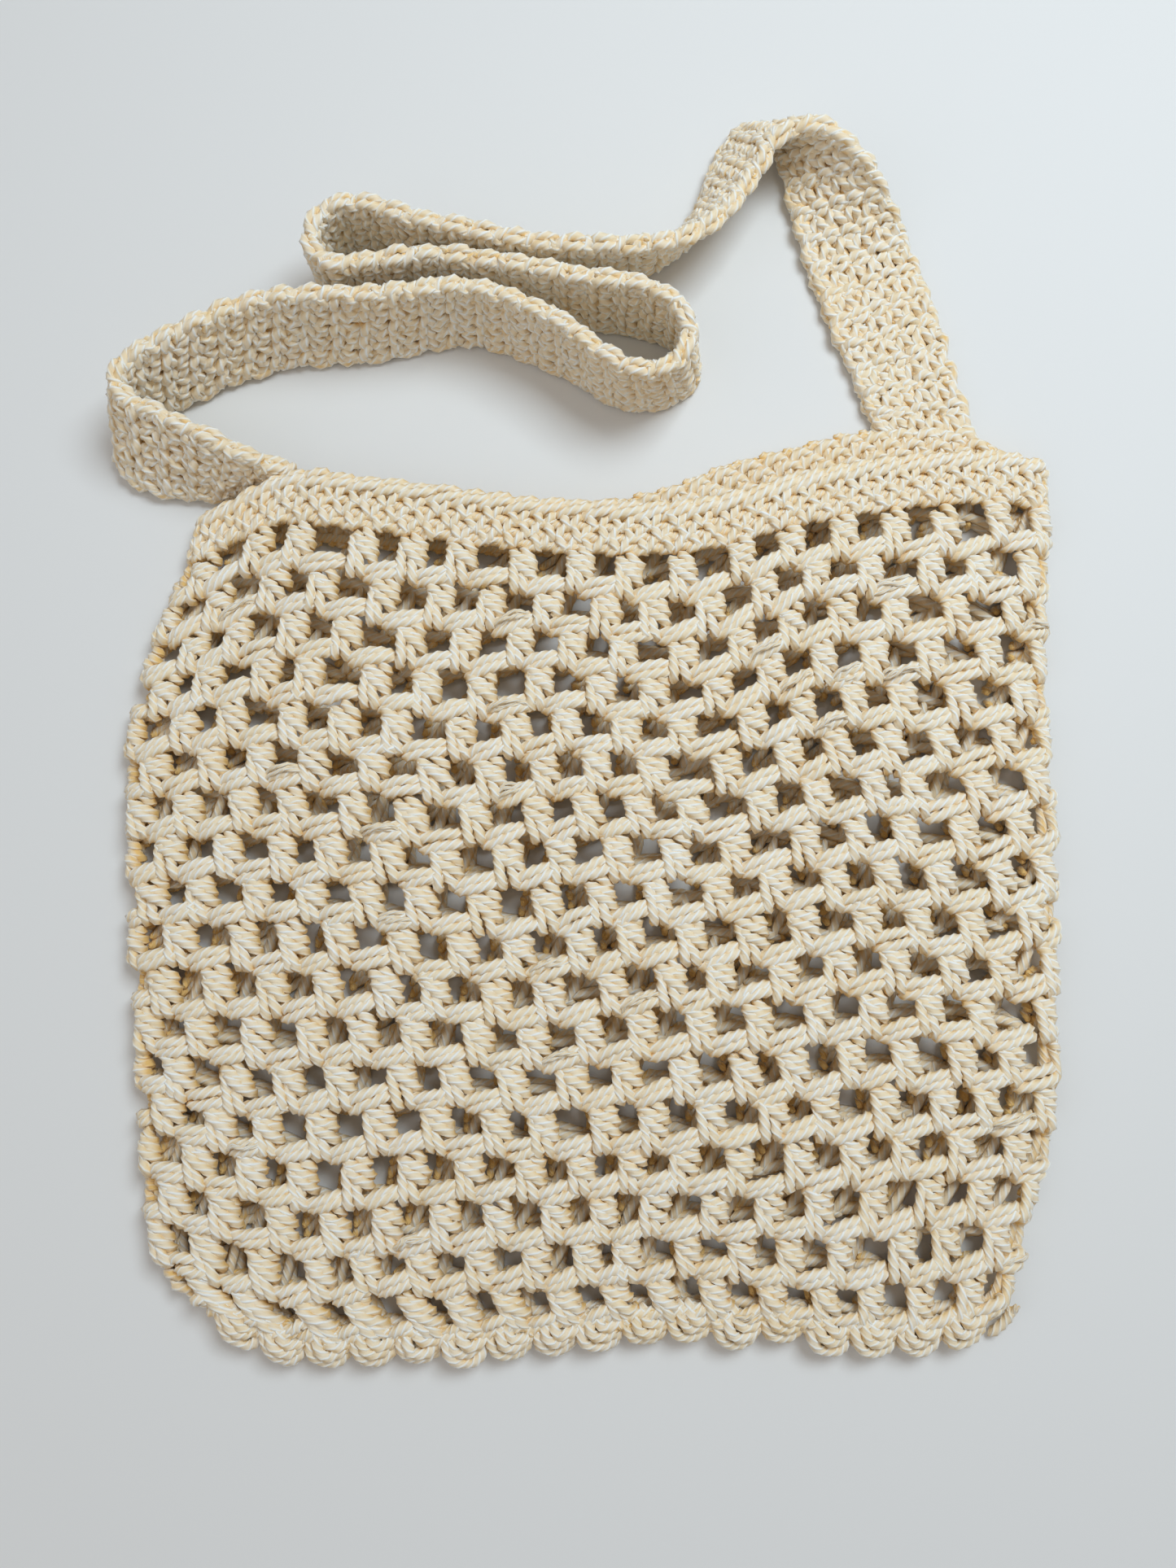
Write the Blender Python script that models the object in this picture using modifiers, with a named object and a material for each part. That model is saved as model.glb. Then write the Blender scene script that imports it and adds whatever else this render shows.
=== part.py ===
"""A crochet mesh shoulder bag lying flat, with its long strap folded above the mouth.

Metres, +Z up. The origin is the centre of the bag's flat underside, +Y runs from the
bottom seam to the mouth and +X to the bag's right. The bag is a flattened tube, closed
at the bottom and open at the mouth; the strap stands mostly on its edge.
"""

import math

import bmesh
import bpy
import numpy as np

# Driving sizes of the bag, in metres
BAG_WIDTH = 0.280
BAG_HEIGHT = 0.256
MIDDLE_THICKNESS = 0.0160
FOLD_THICKNESS = 0.0095
BODY_WALL = 0.0035
RIM_WALL = 0.0040
RIM_HEIGHT = 0.0140
SEAM_RADIUS = 0.0035
SEAM_KNOBS = 18
KNOB_SWELL = 0.06

# Driving sizes of the strap and of the loose yarn end
STRAP_WIDTH = 0.0300
STRAP_THICKNESS = 0.0055
STRAP_REACH = 0.1300
YARN_RADIUS = 0.0018
TAIL_LENGTH = 0.0100

# The yarn end's shape, as shares of its length: how far it reaches out and up, how far
# below the seam's line it starts and how long it runs beside the bag; then how much it
# thins by its tip
TAIL_OUT = 0.55
TAIL_UP = 0.35
TAIL_START = 0.2
TAIL_RUN = 0.8
TAIL_THINNING = 0.3

# Gaps kept between pieces that touch on the real bag: at the strap and the yarn end, and
# along the body's long edges
CLEARANCE = 0.0003
EDGE_GAP = 0.0008

# How suddenly the thickness falls at the folds and at the bottom
SIDE_POWER = 4
BOTTOM_POWER = 6

# Fineness of the faceted walls; edges that turn more than the angle stay sharp
PANEL_COLUMNS = 26
FOLD_STEPS = 4
BODY_ROWS = 15
RIM_ROWS = 3
STRAP_SECTIONS = 110
TAIL_POINTS = 7
SHARP_DEGREES = 50

# Side outline: height as a share of the bag's, then how far the left and right sides
# stand out, as shares of half the width
SIDE_OUTLINE = (
    # height, left, right
    (0.00, 0.80, 0.83),
    (0.04, 0.88, 0.86),
    (0.10, 0.92, 0.89),
    (0.20, 0.94, 0.95),
    (0.35, 0.97, 0.98),
    (0.55, 1.00, 1.00),
    (0.70, 1.01, 0.99),
    (0.82, 0.97, 1.00),
    (0.92, 0.92, 1.02),
    (1.00, 0.88, 1.02),
)

# Mouth: place across the bag from -1 to 1, then the front and back edges above the
# mouth line, as shares of the bag's height
MOUTH_LINE = (
    # across, front, back
    (-1.00, -0.030, -0.030),
    (-0.92, -0.012, -0.012),
    (-0.83, 0.004, -0.002),
    (-0.63, 0.000, -0.006),
    (-0.40, -0.014, -0.014),
    (-0.14, -0.028, -0.016),
    (0.11, -0.029, 0.006),
    (0.25, -0.020, 0.034),
    (0.39, 0.002, 0.053),
    (0.54, 0.018, 0.074),
    (0.70, 0.031, 0.084),
    (0.83, 0.038, 0.078),
    (0.92, 0.041, 0.058),
    (1.00, 0.035, 0.035),
)

# Bottom edge: place across the bag, then its rise above the bottom line
BOTTOM_LINE = (
    # across, rise
    (-1.00, 0.016),
    (-0.85, -0.008),
    (-0.40, -0.012),
    (0.10, 0.005),
    (0.50, 0.004),
    (0.85, -0.004),
    (1.00, 0.010),
)

# Swells and dents of the front: place across and up, spread as a share of the width,
# and lift as a share of the middle thickness
SWELLS = (
    # across, height, spread, lift
    (-0.80, 1.00, 0.10, 0.34),
    (0.62, 0.72, 0.20, 0.10),
    (0.30, 0.55, 0.12, -0.10),
    (-0.45, 0.62, 0.16, 0.10),
    (-0.20, 0.36, 0.14, -0.08),
    (0.10, 0.20, 0.16, 0.12),
    (-0.62, 0.22, 0.13, -0.08),
    (0.70, 0.24, 0.15, 0.08),
)

# Strap: centre across as a share of the bag's width and beyond the mouth line as a
# share of the strap's reach; the compass turn and the rise of the line from its lower
# to its upper edge, in degrees; and its width there as a share of the strap's width
STRAP_STATIONS = (
    # across, beyond, turn, rise, width
    (0.376, 0.169, 0, 0, 1.00),
    (0.361, 0.262, 14, 0, 1.00),
    (0.350, 0.350, 19, 0, 1.06),
    (0.335, 0.447, 21, 0, 1.12),
    (0.319, 0.546, 20, 0, 1.12),
    (0.303, 0.640, 15, 6, 1.08),
    (0.288, 0.714, 8, 18, 1.02),
    (0.273, 0.782, -5, 34, 1.00),
    (0.255, 0.848, -22, 46, 1.00),
    (0.226, 0.908, -45, 52, 1.00),
    (0.194, 0.904, -62, 49, 1.00),
    (0.170, 0.838, -66, 44, 1.00),
    (0.151, 0.760, -69, 46, 1.00),
    (0.132, 0.688, -78, 52, 1.00),
    (0.104, 0.617, -90, 62, 1.00),
    (0.062, 0.568, -93, 73, 1.00),
    (0.009, 0.544, -92, 83, 1.00),
    (-0.071, 0.546, -90, 88, 1.00),
    (-0.146, 0.577, -90, 90, 1.00),
    (-0.200, 0.603, -90, 90, 1.00),
    (-0.240, 0.632, -90, 90, 1.00),
    (-0.279, 0.634, -90, 90, 1.00),
    (-0.304, 0.588, -90, 90, 1.00),
    (-0.306, 0.527, -90, 90, 1.00),
    (-0.288, 0.488, -90, 90, 1.00),
    (-0.250, 0.490, -90, 90, 1.00),
    (-0.179, 0.508, -90, 90, 1.00),
    (-0.113, 0.494, -90, 90, 1.00),
    (-0.061, 0.474, -90, 90, 1.00),
    (0.000, 0.450, -90, 90, 1.00),
    (0.052, 0.431, -100, 90, 1.00),
    (0.091, 0.390, -120, 86, 1.00),
    (0.107, 0.331, -132, 80, 1.00),
    (0.104, 0.284, -138, 76, 1.00),
    (0.085, 0.245, -142, 76, 1.00),
    (0.050, 0.231, -160, 82, 1.00),
    (0.019, 0.254, -200, 84, 1.00),
    (-0.016, 0.308, -235, 85, 1.00),
    (-0.057, 0.358, -265, 85, 1.00),
    (-0.107, 0.402, -290, 84, 1.00),
    (-0.149, 0.418, -300, 83, 1.00),
    (-0.186, 0.408, -308, 80, 1.00),
    (-0.224, 0.394, -308, 75, 1.00),
    (-0.261, 0.386, -308, 72, 1.00),
    (-0.300, 0.384, -310, 70, 1.00),
    (-0.340, 0.378, -310, 67, 1.00),
    (-0.381, 0.360, -305, 62, 1.00),
    (-0.417, 0.330, -303, 61, 1.00),
    (-0.450, 0.296, -300, 61, 1.00),
    (-0.481, 0.260, -298, 62, 1.00),
    (-0.506, 0.225, -296, 62, 1.00),
    (-0.521, 0.186, -295, 60, 1.00),
    (-0.524, 0.146, -294, 57, 1.00),
    (-0.513, 0.110, -292, 54, 1.00),
    (-0.490, 0.084, -291, 53, 1.00),
    (-0.454, 0.060, -296, 57, 1.00),
    (-0.424, 0.046, -306, 60, 1.00),
    (-0.397, 0.036, -326, 55, 0.94),
    (-0.370, 0.034, -346, 44, 0.84),
)

CREAM = (0.86, 0.73, 0.49, 1.0)


def along_table(rows, key):
    """The table's other columns at each key, on a smooth curve through its rows.

    Each stretch is a cubic whose slope at a row is that of its neighbours.
    """
    rows = np.asarray(rows, dtype=float)
    keys, values = rows[:, 0], rows[:, 1:]
    slopes = np.gradient(values, keys, axis=0)
    key = np.clip(key, keys[0], keys[-1])
    low = np.clip(np.searchsorted(keys, key, side="right") - 1, 0, len(keys) - 2)
    span = (keys[low + 1] - keys[low])[..., None]
    share = (key - keys[low])[..., None] / span
    start, end = values[low], values[low + 1]
    rise = (3.0 - 2.0 * share) * share**2
    leave = share * (1.0 - share) ** 2
    arrive = share**2 * (share - 1.0)
    turned = span * (leave * slopes[low] + arrive * slopes[low + 1])
    return start + rise * (end - start) + turned


def bottom_edge(across):
    """Where the bag body's lowest line runs, clear of the seam below it."""
    fold = FOLD_THICKNESS / 2
    reach = fold + SEAM_RADIUS + EDGE_GAP
    apart = math.sqrt(reach**2 - (fold - SEAM_RADIUS) ** 2)
    return seam_centre(across) + apart - fold


def seam_centre(across):
    """The seam's centre line, its outer edge on the bottom line."""
    rise = along_table(BOTTOM_LINE, across)[..., 0]
    return BAG_HEIGHT * (rise - 0.5) + SEAM_RADIUS


def mouth_edge(across, front_share):
    """The mouth's edge; front_share is 1 on the front panel and 0 on the back."""
    lines = along_table(MOUTH_LINE, across)
    rise = front_share * lines[..., 0] + (1.0 - front_share) * lines[..., 1]
    return BAG_HEIGHT * (rise + 0.5)


def side_edges(height):
    """The centre line and half the width of the bag at each share of its height."""
    sides = along_table(SIDE_OUTLINE, height) * BAG_WIDTH / 2
    left, right = -sides[..., 0], sides[..., 1]
    return (left + right) / 2, (right - left) / 2


def thickness(across, height):
    """The bag's thickness: two layers at the folds, fuller in the middle."""
    flat_sides = 1.0 - across**SIDE_POWER
    flat_bottom = 1.0 - (1.0 - height) ** BOTTOM_POWER
    full = MIDDLE_THICKNESS - FOLD_THICKNESS
    for centre, level, spread, lift in SWELLS:
        away = ((across - centre) / (2 * spread)) ** 2
        away = away + ((height - level) * BAG_HEIGHT / (BAG_WIDTH * spread)) ** 2
        full = full + lift * MIDDLE_THICKNESS * np.exp(-away)
    return FOLD_THICKNESS + full * flat_sides * flat_bottom


def around_columns():
    """Columns round the flattened tube: place across, side, and angle of the fold."""
    across = np.linspace(-1.0, 1.0, PANEL_COLUMNS + 1)
    bend = np.linspace(math.pi / 2, -math.pi / 2, FOLD_STEPS + 1)[1:-1]
    ones = np.ones(FOLD_STEPS - 1)
    place = np.concatenate([across, ones, across[::-1], -ones])
    side = np.concatenate([across * 0, ones, across * 0, -ones])
    up = np.full(across.shape, math.pi / 2)
    angle = np.concatenate([up, bend, -up, bend[::-1]])
    return place, side, angle


def shell_points(span, rows):
    """Points of the bag's outer skin, a row of points for each of the rows.

    span gives the lowest and highest lines. Each of the rows holds its share of the way
    between them, how far the two layers stand apart (1 for all the way, 0 for joined)
    and how far it is moved up or down, in metres.
    """
    place, side, angle = around_columns()
    front = (1.0 + np.sin(angle)) / 2
    low, high = span(place, front)
    level, closing, shift = (np.asarray(rows)[:, k : k + 1] for k in range(3))
    y = low + level * (high - low) + shift
    bottom = bottom_edge(place)
    height = np.clip((y - bottom) / (mouth_edge(place, front) - bottom), 0.0, 1.0)
    centre, half = side_edges(height)
    deep = thickness(place, height)
    fold = FOLD_THICKNESS / 2
    x = centre + place * (half - fold) + side * np.cos(angle) * fold * closing
    z = deep / 2 * (1.0 + np.sin(angle) * closing)
    return np.stack([x, y, z], axis=-1)


def body_span(place, front):
    """The bag body's lowest and highest lines, the fold of its bottom left out."""
    low = bottom_edge(place) + FOLD_THICKNESS / 2
    return low, mouth_edge(place, front) - RIM_HEIGHT - EDGE_GAP


def rim_span(place, front):
    """The rim band's lower and upper lines."""
    high = mouth_edge(place, front)
    return high - RIM_HEIGHT, high


def in_collection(name):
    """The named collection, made when it is missing."""
    found = bpy.data.collections.get(name)
    if found is None:
        found = bpy.data.collections.new(name)
        bpy.context.scene.collection.children.link(found)
    return found


def yarn_material(name, shade):
    """A matt cream yarn, lighter or darker by shade."""
    material = bpy.data.materials.new(name)
    material.use_nodes = True
    shader = material.node_tree.nodes["Principled BSDF"]
    red, green, blue, alpha = CREAM
    shader.inputs["Base Color"].default_value = (red * shade, green * shade, blue * shade, alpha)
    shader.inputs["Roughness"].default_value = 0.85
    shader.inputs["Metallic"].default_value = 0.0
    return material


def surface_object(name, points, closed, shade):
    """A sheet through a grid of points, its rows closed on themselves when asked."""
    rows, columns = points.shape[:2]
    step = columns if closed else columns - 1
    row, column = np.meshgrid(np.arange(rows - 1), np.arange(step), indexing="ij")
    across = (column + 1) % columns
    corners = (row * columns + column, row * columns + across)
    corners += ((row + 1) * columns + across, (row + 1) * columns + column)
    faces = np.stack(corners, axis=-1).reshape(-1, 4)
    mesh = bpy.data.meshes.new(name)
    mesh.from_pydata(points.reshape(-1, 3).tolist(), [], faces.tolist())
    tidy = bmesh.new()
    tidy.from_mesh(mesh)
    bmesh.ops.remove_doubles(tidy, verts=tidy.verts, dist=1e-6)
    bmesh.ops.dissolve_degenerate(tidy, edges=tidy.edges, dist=1e-6)
    tidy.to_mesh(mesh)
    tidy.free()
    piece = bpy.data.objects.new(name, mesh)
    piece.data.materials.append(yarn_material(name, shade))
    in_collection("crochet_bag").objects.link(piece)
    return piece


def give_wall(piece, wall, offset):
    """A wall of this thickness on one side of the sheet or about its middle."""
    solidify = piece.modifiers.new("wall", "SOLIDIFY")
    solidify.thickness = wall
    solidify.offset = offset
    solidify.use_even_offset = False
    solidify.use_rim = True
    piece.data.shade_smooth()
    piece.data.set_sharp_from_angle(angle=math.radians(SHARP_DEGREES))


def body_rows():
    """Rows of the bag body: the round bottom, then even rows up to the rim."""
    fold = FOLD_THICKNESS / 2
    rows = []
    for step in range(FOLD_STEPS // 2 + 1):
        angle = math.pi / 2 * (1.0 - step / (FOLD_STEPS / 2))
        rows.append((0.0, math.cos(angle), -fold * math.sin(angle)))
    for share in np.linspace(0.0, 1.0, BODY_ROWS + 1)[1:]:
        rows.append((share, 1.0, 0.0))
    return np.array(rows)


def mesh_body():
    """The bag's body: a flattened tube, closed along the bottom and open above."""
    points = shell_points(body_span, body_rows())
    piece = surface_object("mesh_body", points, True, 1.0)
    give_wall(piece, BODY_WALL, -1.0)


def rim_band():
    """The solid band round the mouth, an open ring that continues the body's skin."""
    rows = [(share, 1.0, 0.0) for share in np.linspace(0.0, 1.0, RIM_ROWS + 1)]
    points = shell_points(rim_span, np.array(rows))
    piece = surface_object("rim_band", points, True, 1.05)
    give_wall(piece, RIM_WALL, -1.0)


def tube_object(name, points, swells, radius, shade):
    """A round tube with closed ends through the points, thicker where swells say."""
    curve = bpy.data.curves.new(name, "CURVE")
    curve.dimensions = "3D"
    curve.bevel_depth = radius
    curve.bevel_resolution = 2
    curve.use_fill_caps = True
    spline = curve.splines.new("POLY")
    spline.points.add(len(points) - 1)
    for spot, place, swell in zip(spline.points, points, swells):
        spot.co = (*place, 1.0)
        spot.radius = swell
    piece = bpy.data.objects.new(name, curve)
    curve.materials.append(yarn_material(name, shade))
    in_collection("crochet_bag").objects.link(piece)
    return piece


def bottom_seam():
    """The knobby seam that joins front and back along the bottom."""
    across = np.linspace(-1.0, 1.0, 4 * SEAM_KNOBS + 1)
    centre, half = side_edges(np.zeros_like(across))
    x = centre + across * (half - FOLD_THICKNESS / 2)
    y = seam_centre(across)
    z = np.full_like(x, SEAM_RADIUS)
    knob = 1.0 - KNOB_SWELL + KNOB_SWELL * np.cos(across * SEAM_KNOBS * math.pi)
    tube_object("bottom_seam", np.stack([x, y, z], axis=-1), knob, SEAM_RADIUS, 0.95)


def yarn_tail():
    """The trimmed yarn end past the right end of the seam."""
    centre, half = side_edges(np.zeros(1))
    start_x = float(centre[0] + half[0]) - FOLD_THICKNESS / 2 + CLEARANCE + YARN_RADIUS
    start_y = float(seam_centre(np.ones(1))[0])
    share = np.linspace(0.0, 1.0, TAIL_POINTS)
    x = start_x + TAIL_LENGTH * TAIL_OUT * np.sin(share * math.pi / 2)
    y = start_y - TAIL_LENGTH * TAIL_START + TAIL_LENGTH * TAIL_RUN * share
    z = YARN_RADIUS + TAIL_LENGTH * TAIL_UP * share
    thins = 1.0 - TAIL_THINNING * share
    tube_object("yarn_tail", np.stack([x, y, z], axis=-1), thins, YARN_RADIUS, 1.05)


def strap_frames():
    """Centres and lower-to-upper half widths of the strap's sections, evenly spaced."""
    rows = np.array(STRAP_STATIONS, dtype=float)
    rows[0, 1] = root_rise(rows[0])
    along = np.column_stack([rows[:, 0] * BAG_WIDTH, rows[:, 1] * STRAP_REACH])
    steps = np.linalg.norm(np.diff(along, axis=0), axis=1)
    keys = np.concatenate([[0.0], np.cumsum(steps)])
    table = np.column_stack([keys, rows])
    found = along_table(table, np.linspace(0.0, keys[-1], STRAP_SECTIONS))
    across, beyond, turn, rise, width = found.T
    turn, rise = np.radians(turn), np.radians(np.clip(rise, 0.0, 90.0))
    half = width * STRAP_WIDTH / 2
    flat = half * np.cos(rise)
    upright = half * np.sin(rise)
    x = across * BAG_WIDTH
    y = BAG_HEIGHT / 2 + beyond * STRAP_REACH
    z = upright + STRAP_THICKNESS / 2 * np.cos(rise)
    centres = np.stack([x, y, z], axis=-1)
    halves = np.stack([flat * np.cos(turn), flat * np.sin(turn), upright], axis=-1)
    return centres, halves


def root_rise(first):
    """The strap's start beyond the mouth line, seated on the highest part of the back rim."""
    centre, half = side_edges(np.ones(1))
    root = first[0] * BAG_WIDTH
    spread = np.linspace(-0.5, 0.5, 9) * STRAP_WIDTH
    across = (root + spread - centre) / (half - FOLD_THICKNESS / 2)
    seat = mouth_edge(across, 0.0).max() + CLEARANCE
    return (seat - BAG_HEIGHT / 2) / STRAP_REACH


def strap():
    """The long solid strap, a ribbon lofted through its sections and given its thickness."""
    centres, halves = strap_frames()
    points = np.stack([centres - halves, centres, centres + halves], axis=1)
    piece = surface_object("strap", points, False, 1.0)
    give_wall(piece, STRAP_THICKNESS, 0.0)


def main():
    """Clears the scene and builds each piece of the bag."""
    for old in list(bpy.data.objects):
        bpy.data.objects.remove(old, do_unlink=True)
    mesh_body()
    rim_band()
    bottom_seam()
    strap()
    yarn_tail()


main()
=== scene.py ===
"""A crochet mesh shoulder bag lying flat, drawn strand by strand in plied cream yarn.

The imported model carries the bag's bodies. Here each body is dressed in yarn: open mesh
for the bag, solid stitches for the rim and strap, and loops along the seam. Metres, +Z
up, +Y from the bottom seam to the mouth.
"""

import logging
import math
from collections.abc import Callable
from dataclasses import dataclass
from enum import Enum

import bpy
import numpy as np
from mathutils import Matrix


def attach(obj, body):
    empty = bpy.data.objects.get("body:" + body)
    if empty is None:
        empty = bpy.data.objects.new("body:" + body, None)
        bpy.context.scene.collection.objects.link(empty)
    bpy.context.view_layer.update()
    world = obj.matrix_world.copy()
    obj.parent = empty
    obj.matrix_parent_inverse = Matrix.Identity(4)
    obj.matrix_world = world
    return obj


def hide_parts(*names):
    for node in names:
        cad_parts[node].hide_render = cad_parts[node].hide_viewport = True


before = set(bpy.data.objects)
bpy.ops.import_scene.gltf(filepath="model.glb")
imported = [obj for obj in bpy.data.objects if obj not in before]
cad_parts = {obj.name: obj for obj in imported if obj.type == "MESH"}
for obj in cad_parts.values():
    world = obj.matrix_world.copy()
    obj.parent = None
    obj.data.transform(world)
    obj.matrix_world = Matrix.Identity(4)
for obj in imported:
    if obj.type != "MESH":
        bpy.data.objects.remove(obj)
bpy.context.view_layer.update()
log = logging.getLogger("crochet_bag")

Array = np.ndarray
Cloth = Callable[[Array, Array, Array], tuple[Array, Array]]
Place = tuple[float, float, float]
Colour = tuple[float, float, float]

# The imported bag's driving sizes, in metres
BAG_WIDTH = 0.280
BAG_HEIGHT = 0.256
MIDDLE_THICKNESS = 0.0160
FOLD_THICKNESS = 0.0095
RIM_HEIGHT = 0.0140
SEAM_RADIUS = 0.0035
STRAP_WIDTH = 0.0300
STRAP_THICKNESS = 0.0055
STRAP_REACH = 0.1300
YARN_RADIUS = 0.0018
TAIL_LENGTH = 0.0100
CLEARANCE = 0.0003
EDGE_GAP = 0.0008

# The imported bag's outlines, as shares of its sizes
SIDE_OUTLINE = (
    # height, left, right
    (0.00, 0.80, 0.83),
    (0.04, 0.88, 0.86),
    (0.10, 0.92, 0.89),
    (0.20, 0.94, 0.95),
    (0.35, 0.97, 0.98),
    (0.55, 1.00, 1.00),
    (0.70, 1.01, 0.99),
    (0.82, 0.97, 1.00),
    (0.92, 0.92, 1.02),
    (1.00, 0.88, 1.02),
)
MOUTH_LINE = (
    # across, front, back
    (-1.00, -0.030, -0.030),
    (-0.92, -0.012, -0.012),
    (-0.83, 0.004, -0.002),
    (-0.63, 0.000, -0.006),
    (-0.40, -0.014, -0.014),
    (-0.14, -0.028, -0.016),
    (0.11, -0.029, 0.006),
    (0.25, -0.020, 0.034),
    (0.39, 0.002, 0.053),
    (0.54, 0.018, 0.074),
    (0.70, 0.031, 0.084),
    (0.83, 0.038, 0.078),
    (0.92, 0.041, 0.058),
    (1.00, 0.035, 0.035),
)
BOTTOM_LINE = (
    # across, rise
    (-1.00, 0.016),
    (-0.85, -0.008),
    (-0.40, -0.012),
    (0.10, 0.005),
    (0.50, 0.004),
    (0.85, -0.004),
    (1.00, 0.010),
)
SWELLS = (
    # across, height, spread, lift
    (-0.80, 1.00, 0.10, 0.34),
    (0.62, 0.72, 0.20, 0.10),
    (0.30, 0.55, 0.12, -0.10),
    (-0.45, 0.62, 0.16, 0.10),
    (-0.20, 0.36, 0.14, -0.08),
    (0.10, 0.20, 0.16, 0.12),
    (-0.62, 0.22, 0.13, -0.08),
    (0.70, 0.24, 0.15, 0.08),
)
STRAP_STATIONS = (
    # across, beyond, turn, rise, width
    (0.376, 0.169, 0, 0, 1.00),
    (0.361, 0.262, 14, 0, 1.00),
    (0.350, 0.350, 19, 0, 1.06),
    (0.335, 0.447, 21, 0, 1.12),
    (0.319, 0.546, 20, 0, 1.12),
    (0.303, 0.640, 15, 6, 1.08),
    (0.288, 0.714, 8, 18, 1.02),
    (0.273, 0.782, -5, 34, 1.00),
    (0.255, 0.848, -22, 46, 1.00),
    (0.226, 0.908, -45, 52, 1.00),
    (0.194, 0.904, -62, 49, 1.00),
    (0.170, 0.838, -66, 44, 1.00),
    (0.151, 0.760, -69, 46, 1.00),
    (0.132, 0.688, -78, 52, 1.00),
    (0.104, 0.617, -90, 62, 1.00),
    (0.062, 0.568, -93, 73, 1.00),
    (0.009, 0.544, -92, 83, 1.00),
    (-0.071, 0.546, -90, 88, 1.00),
    (-0.146, 0.577, -90, 90, 1.00),
    (-0.200, 0.603, -90, 90, 1.00),
    (-0.240, 0.632, -90, 90, 1.00),
    (-0.279, 0.634, -90, 90, 1.00),
    (-0.304, 0.588, -90, 90, 1.00),
    (-0.306, 0.527, -90, 90, 1.00),
    (-0.288, 0.488, -90, 90, 1.00),
    (-0.250, 0.490, -90, 90, 1.00),
    (-0.179, 0.508, -90, 90, 1.00),
    (-0.113, 0.494, -90, 90, 1.00),
    (-0.061, 0.474, -90, 90, 1.00),
    (0.000, 0.450, -90, 90, 1.00),
    (0.052, 0.431, -100, 90, 1.00),
    (0.091, 0.390, -120, 86, 1.00),
    (0.107, 0.331, -132, 80, 1.00),
    (0.104, 0.284, -138, 76, 1.00),
    (0.085, 0.245, -142, 76, 1.00),
    (0.050, 0.231, -160, 82, 1.00),
    (0.019, 0.254, -200, 84, 1.00),
    (-0.016, 0.308, -235, 85, 1.00),
    (-0.057, 0.358, -265, 85, 1.00),
    (-0.107, 0.402, -290, 84, 1.00),
    (-0.149, 0.418, -300, 83, 1.00),
    (-0.186, 0.408, -308, 80, 1.00),
    (-0.224, 0.394, -308, 75, 1.00),
    (-0.261, 0.386, -308, 72, 1.00),
    (-0.300, 0.384, -310, 70, 1.00),
    (-0.340, 0.378, -310, 67, 1.00),
    (-0.381, 0.360, -305, 62, 1.00),
    (-0.417, 0.330, -303, 61, 1.00),
    (-0.450, 0.296, -300, 61, 1.00),
    (-0.481, 0.260, -298, 62, 1.00),
    (-0.506, 0.225, -296, 62, 1.00),
    (-0.521, 0.186, -295, 60, 1.00),
    (-0.524, 0.146, -294, 57, 1.00),
    (-0.513, 0.110, -292, 54, 1.00),
    (-0.490, 0.084, -291, 53, 1.00),
    (-0.454, 0.060, -296, 57, 1.00),
    (-0.424, 0.046, -306, 60, 1.00),
    (-0.397, 0.036, -326, 55, 0.94),
    (-0.370, 0.034, -346, 44, 0.84),
)

# How the bag is worked
CELLS_AROUND = 34
MESH_ROWS = 18
MILLI = 0.001


def unit(vectors: Array) -> Array:
    """Vectors divided by their lengths."""
    return vectors / np.maximum(np.linalg.norm(vectors, axis=-1, keepdims=True), 1e-12)


def along_table(rows: object, key: Array) -> Array:
    """The table's other columns at each key, on a smooth curve through its rows.

    Each stretch is a cubic whose slope at a row is that of its neighbours.

    Args:
        rows: A table whose first column rises.
        key: Values of the first column to read the others at.

    Returns:
        An array of key's shape with the other columns along a last axis.
    """
    rows = np.asarray(rows, dtype=float)
    keys, values = rows[:, 0], rows[:, 1:]
    slopes = np.gradient(values, keys, axis=0)
    key = np.clip(key, keys[0], keys[-1])
    low = np.clip(np.searchsorted(keys, key, side="right") - 1, 0, len(keys) - 2)
    span = (keys[low + 1] - keys[low])[..., None]
    share = (key - keys[low])[..., None] / span
    start, end = values[low], values[low + 1]
    rise = (3.0 - 2.0 * share) * share**2
    leave = share * (1.0 - share) ** 2
    arrive = share**2 * (share - 1.0)
    turned = span * (leave * slopes[low] + arrive * slopes[low + 1])
    return start + rise * (end - start) + turned


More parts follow.
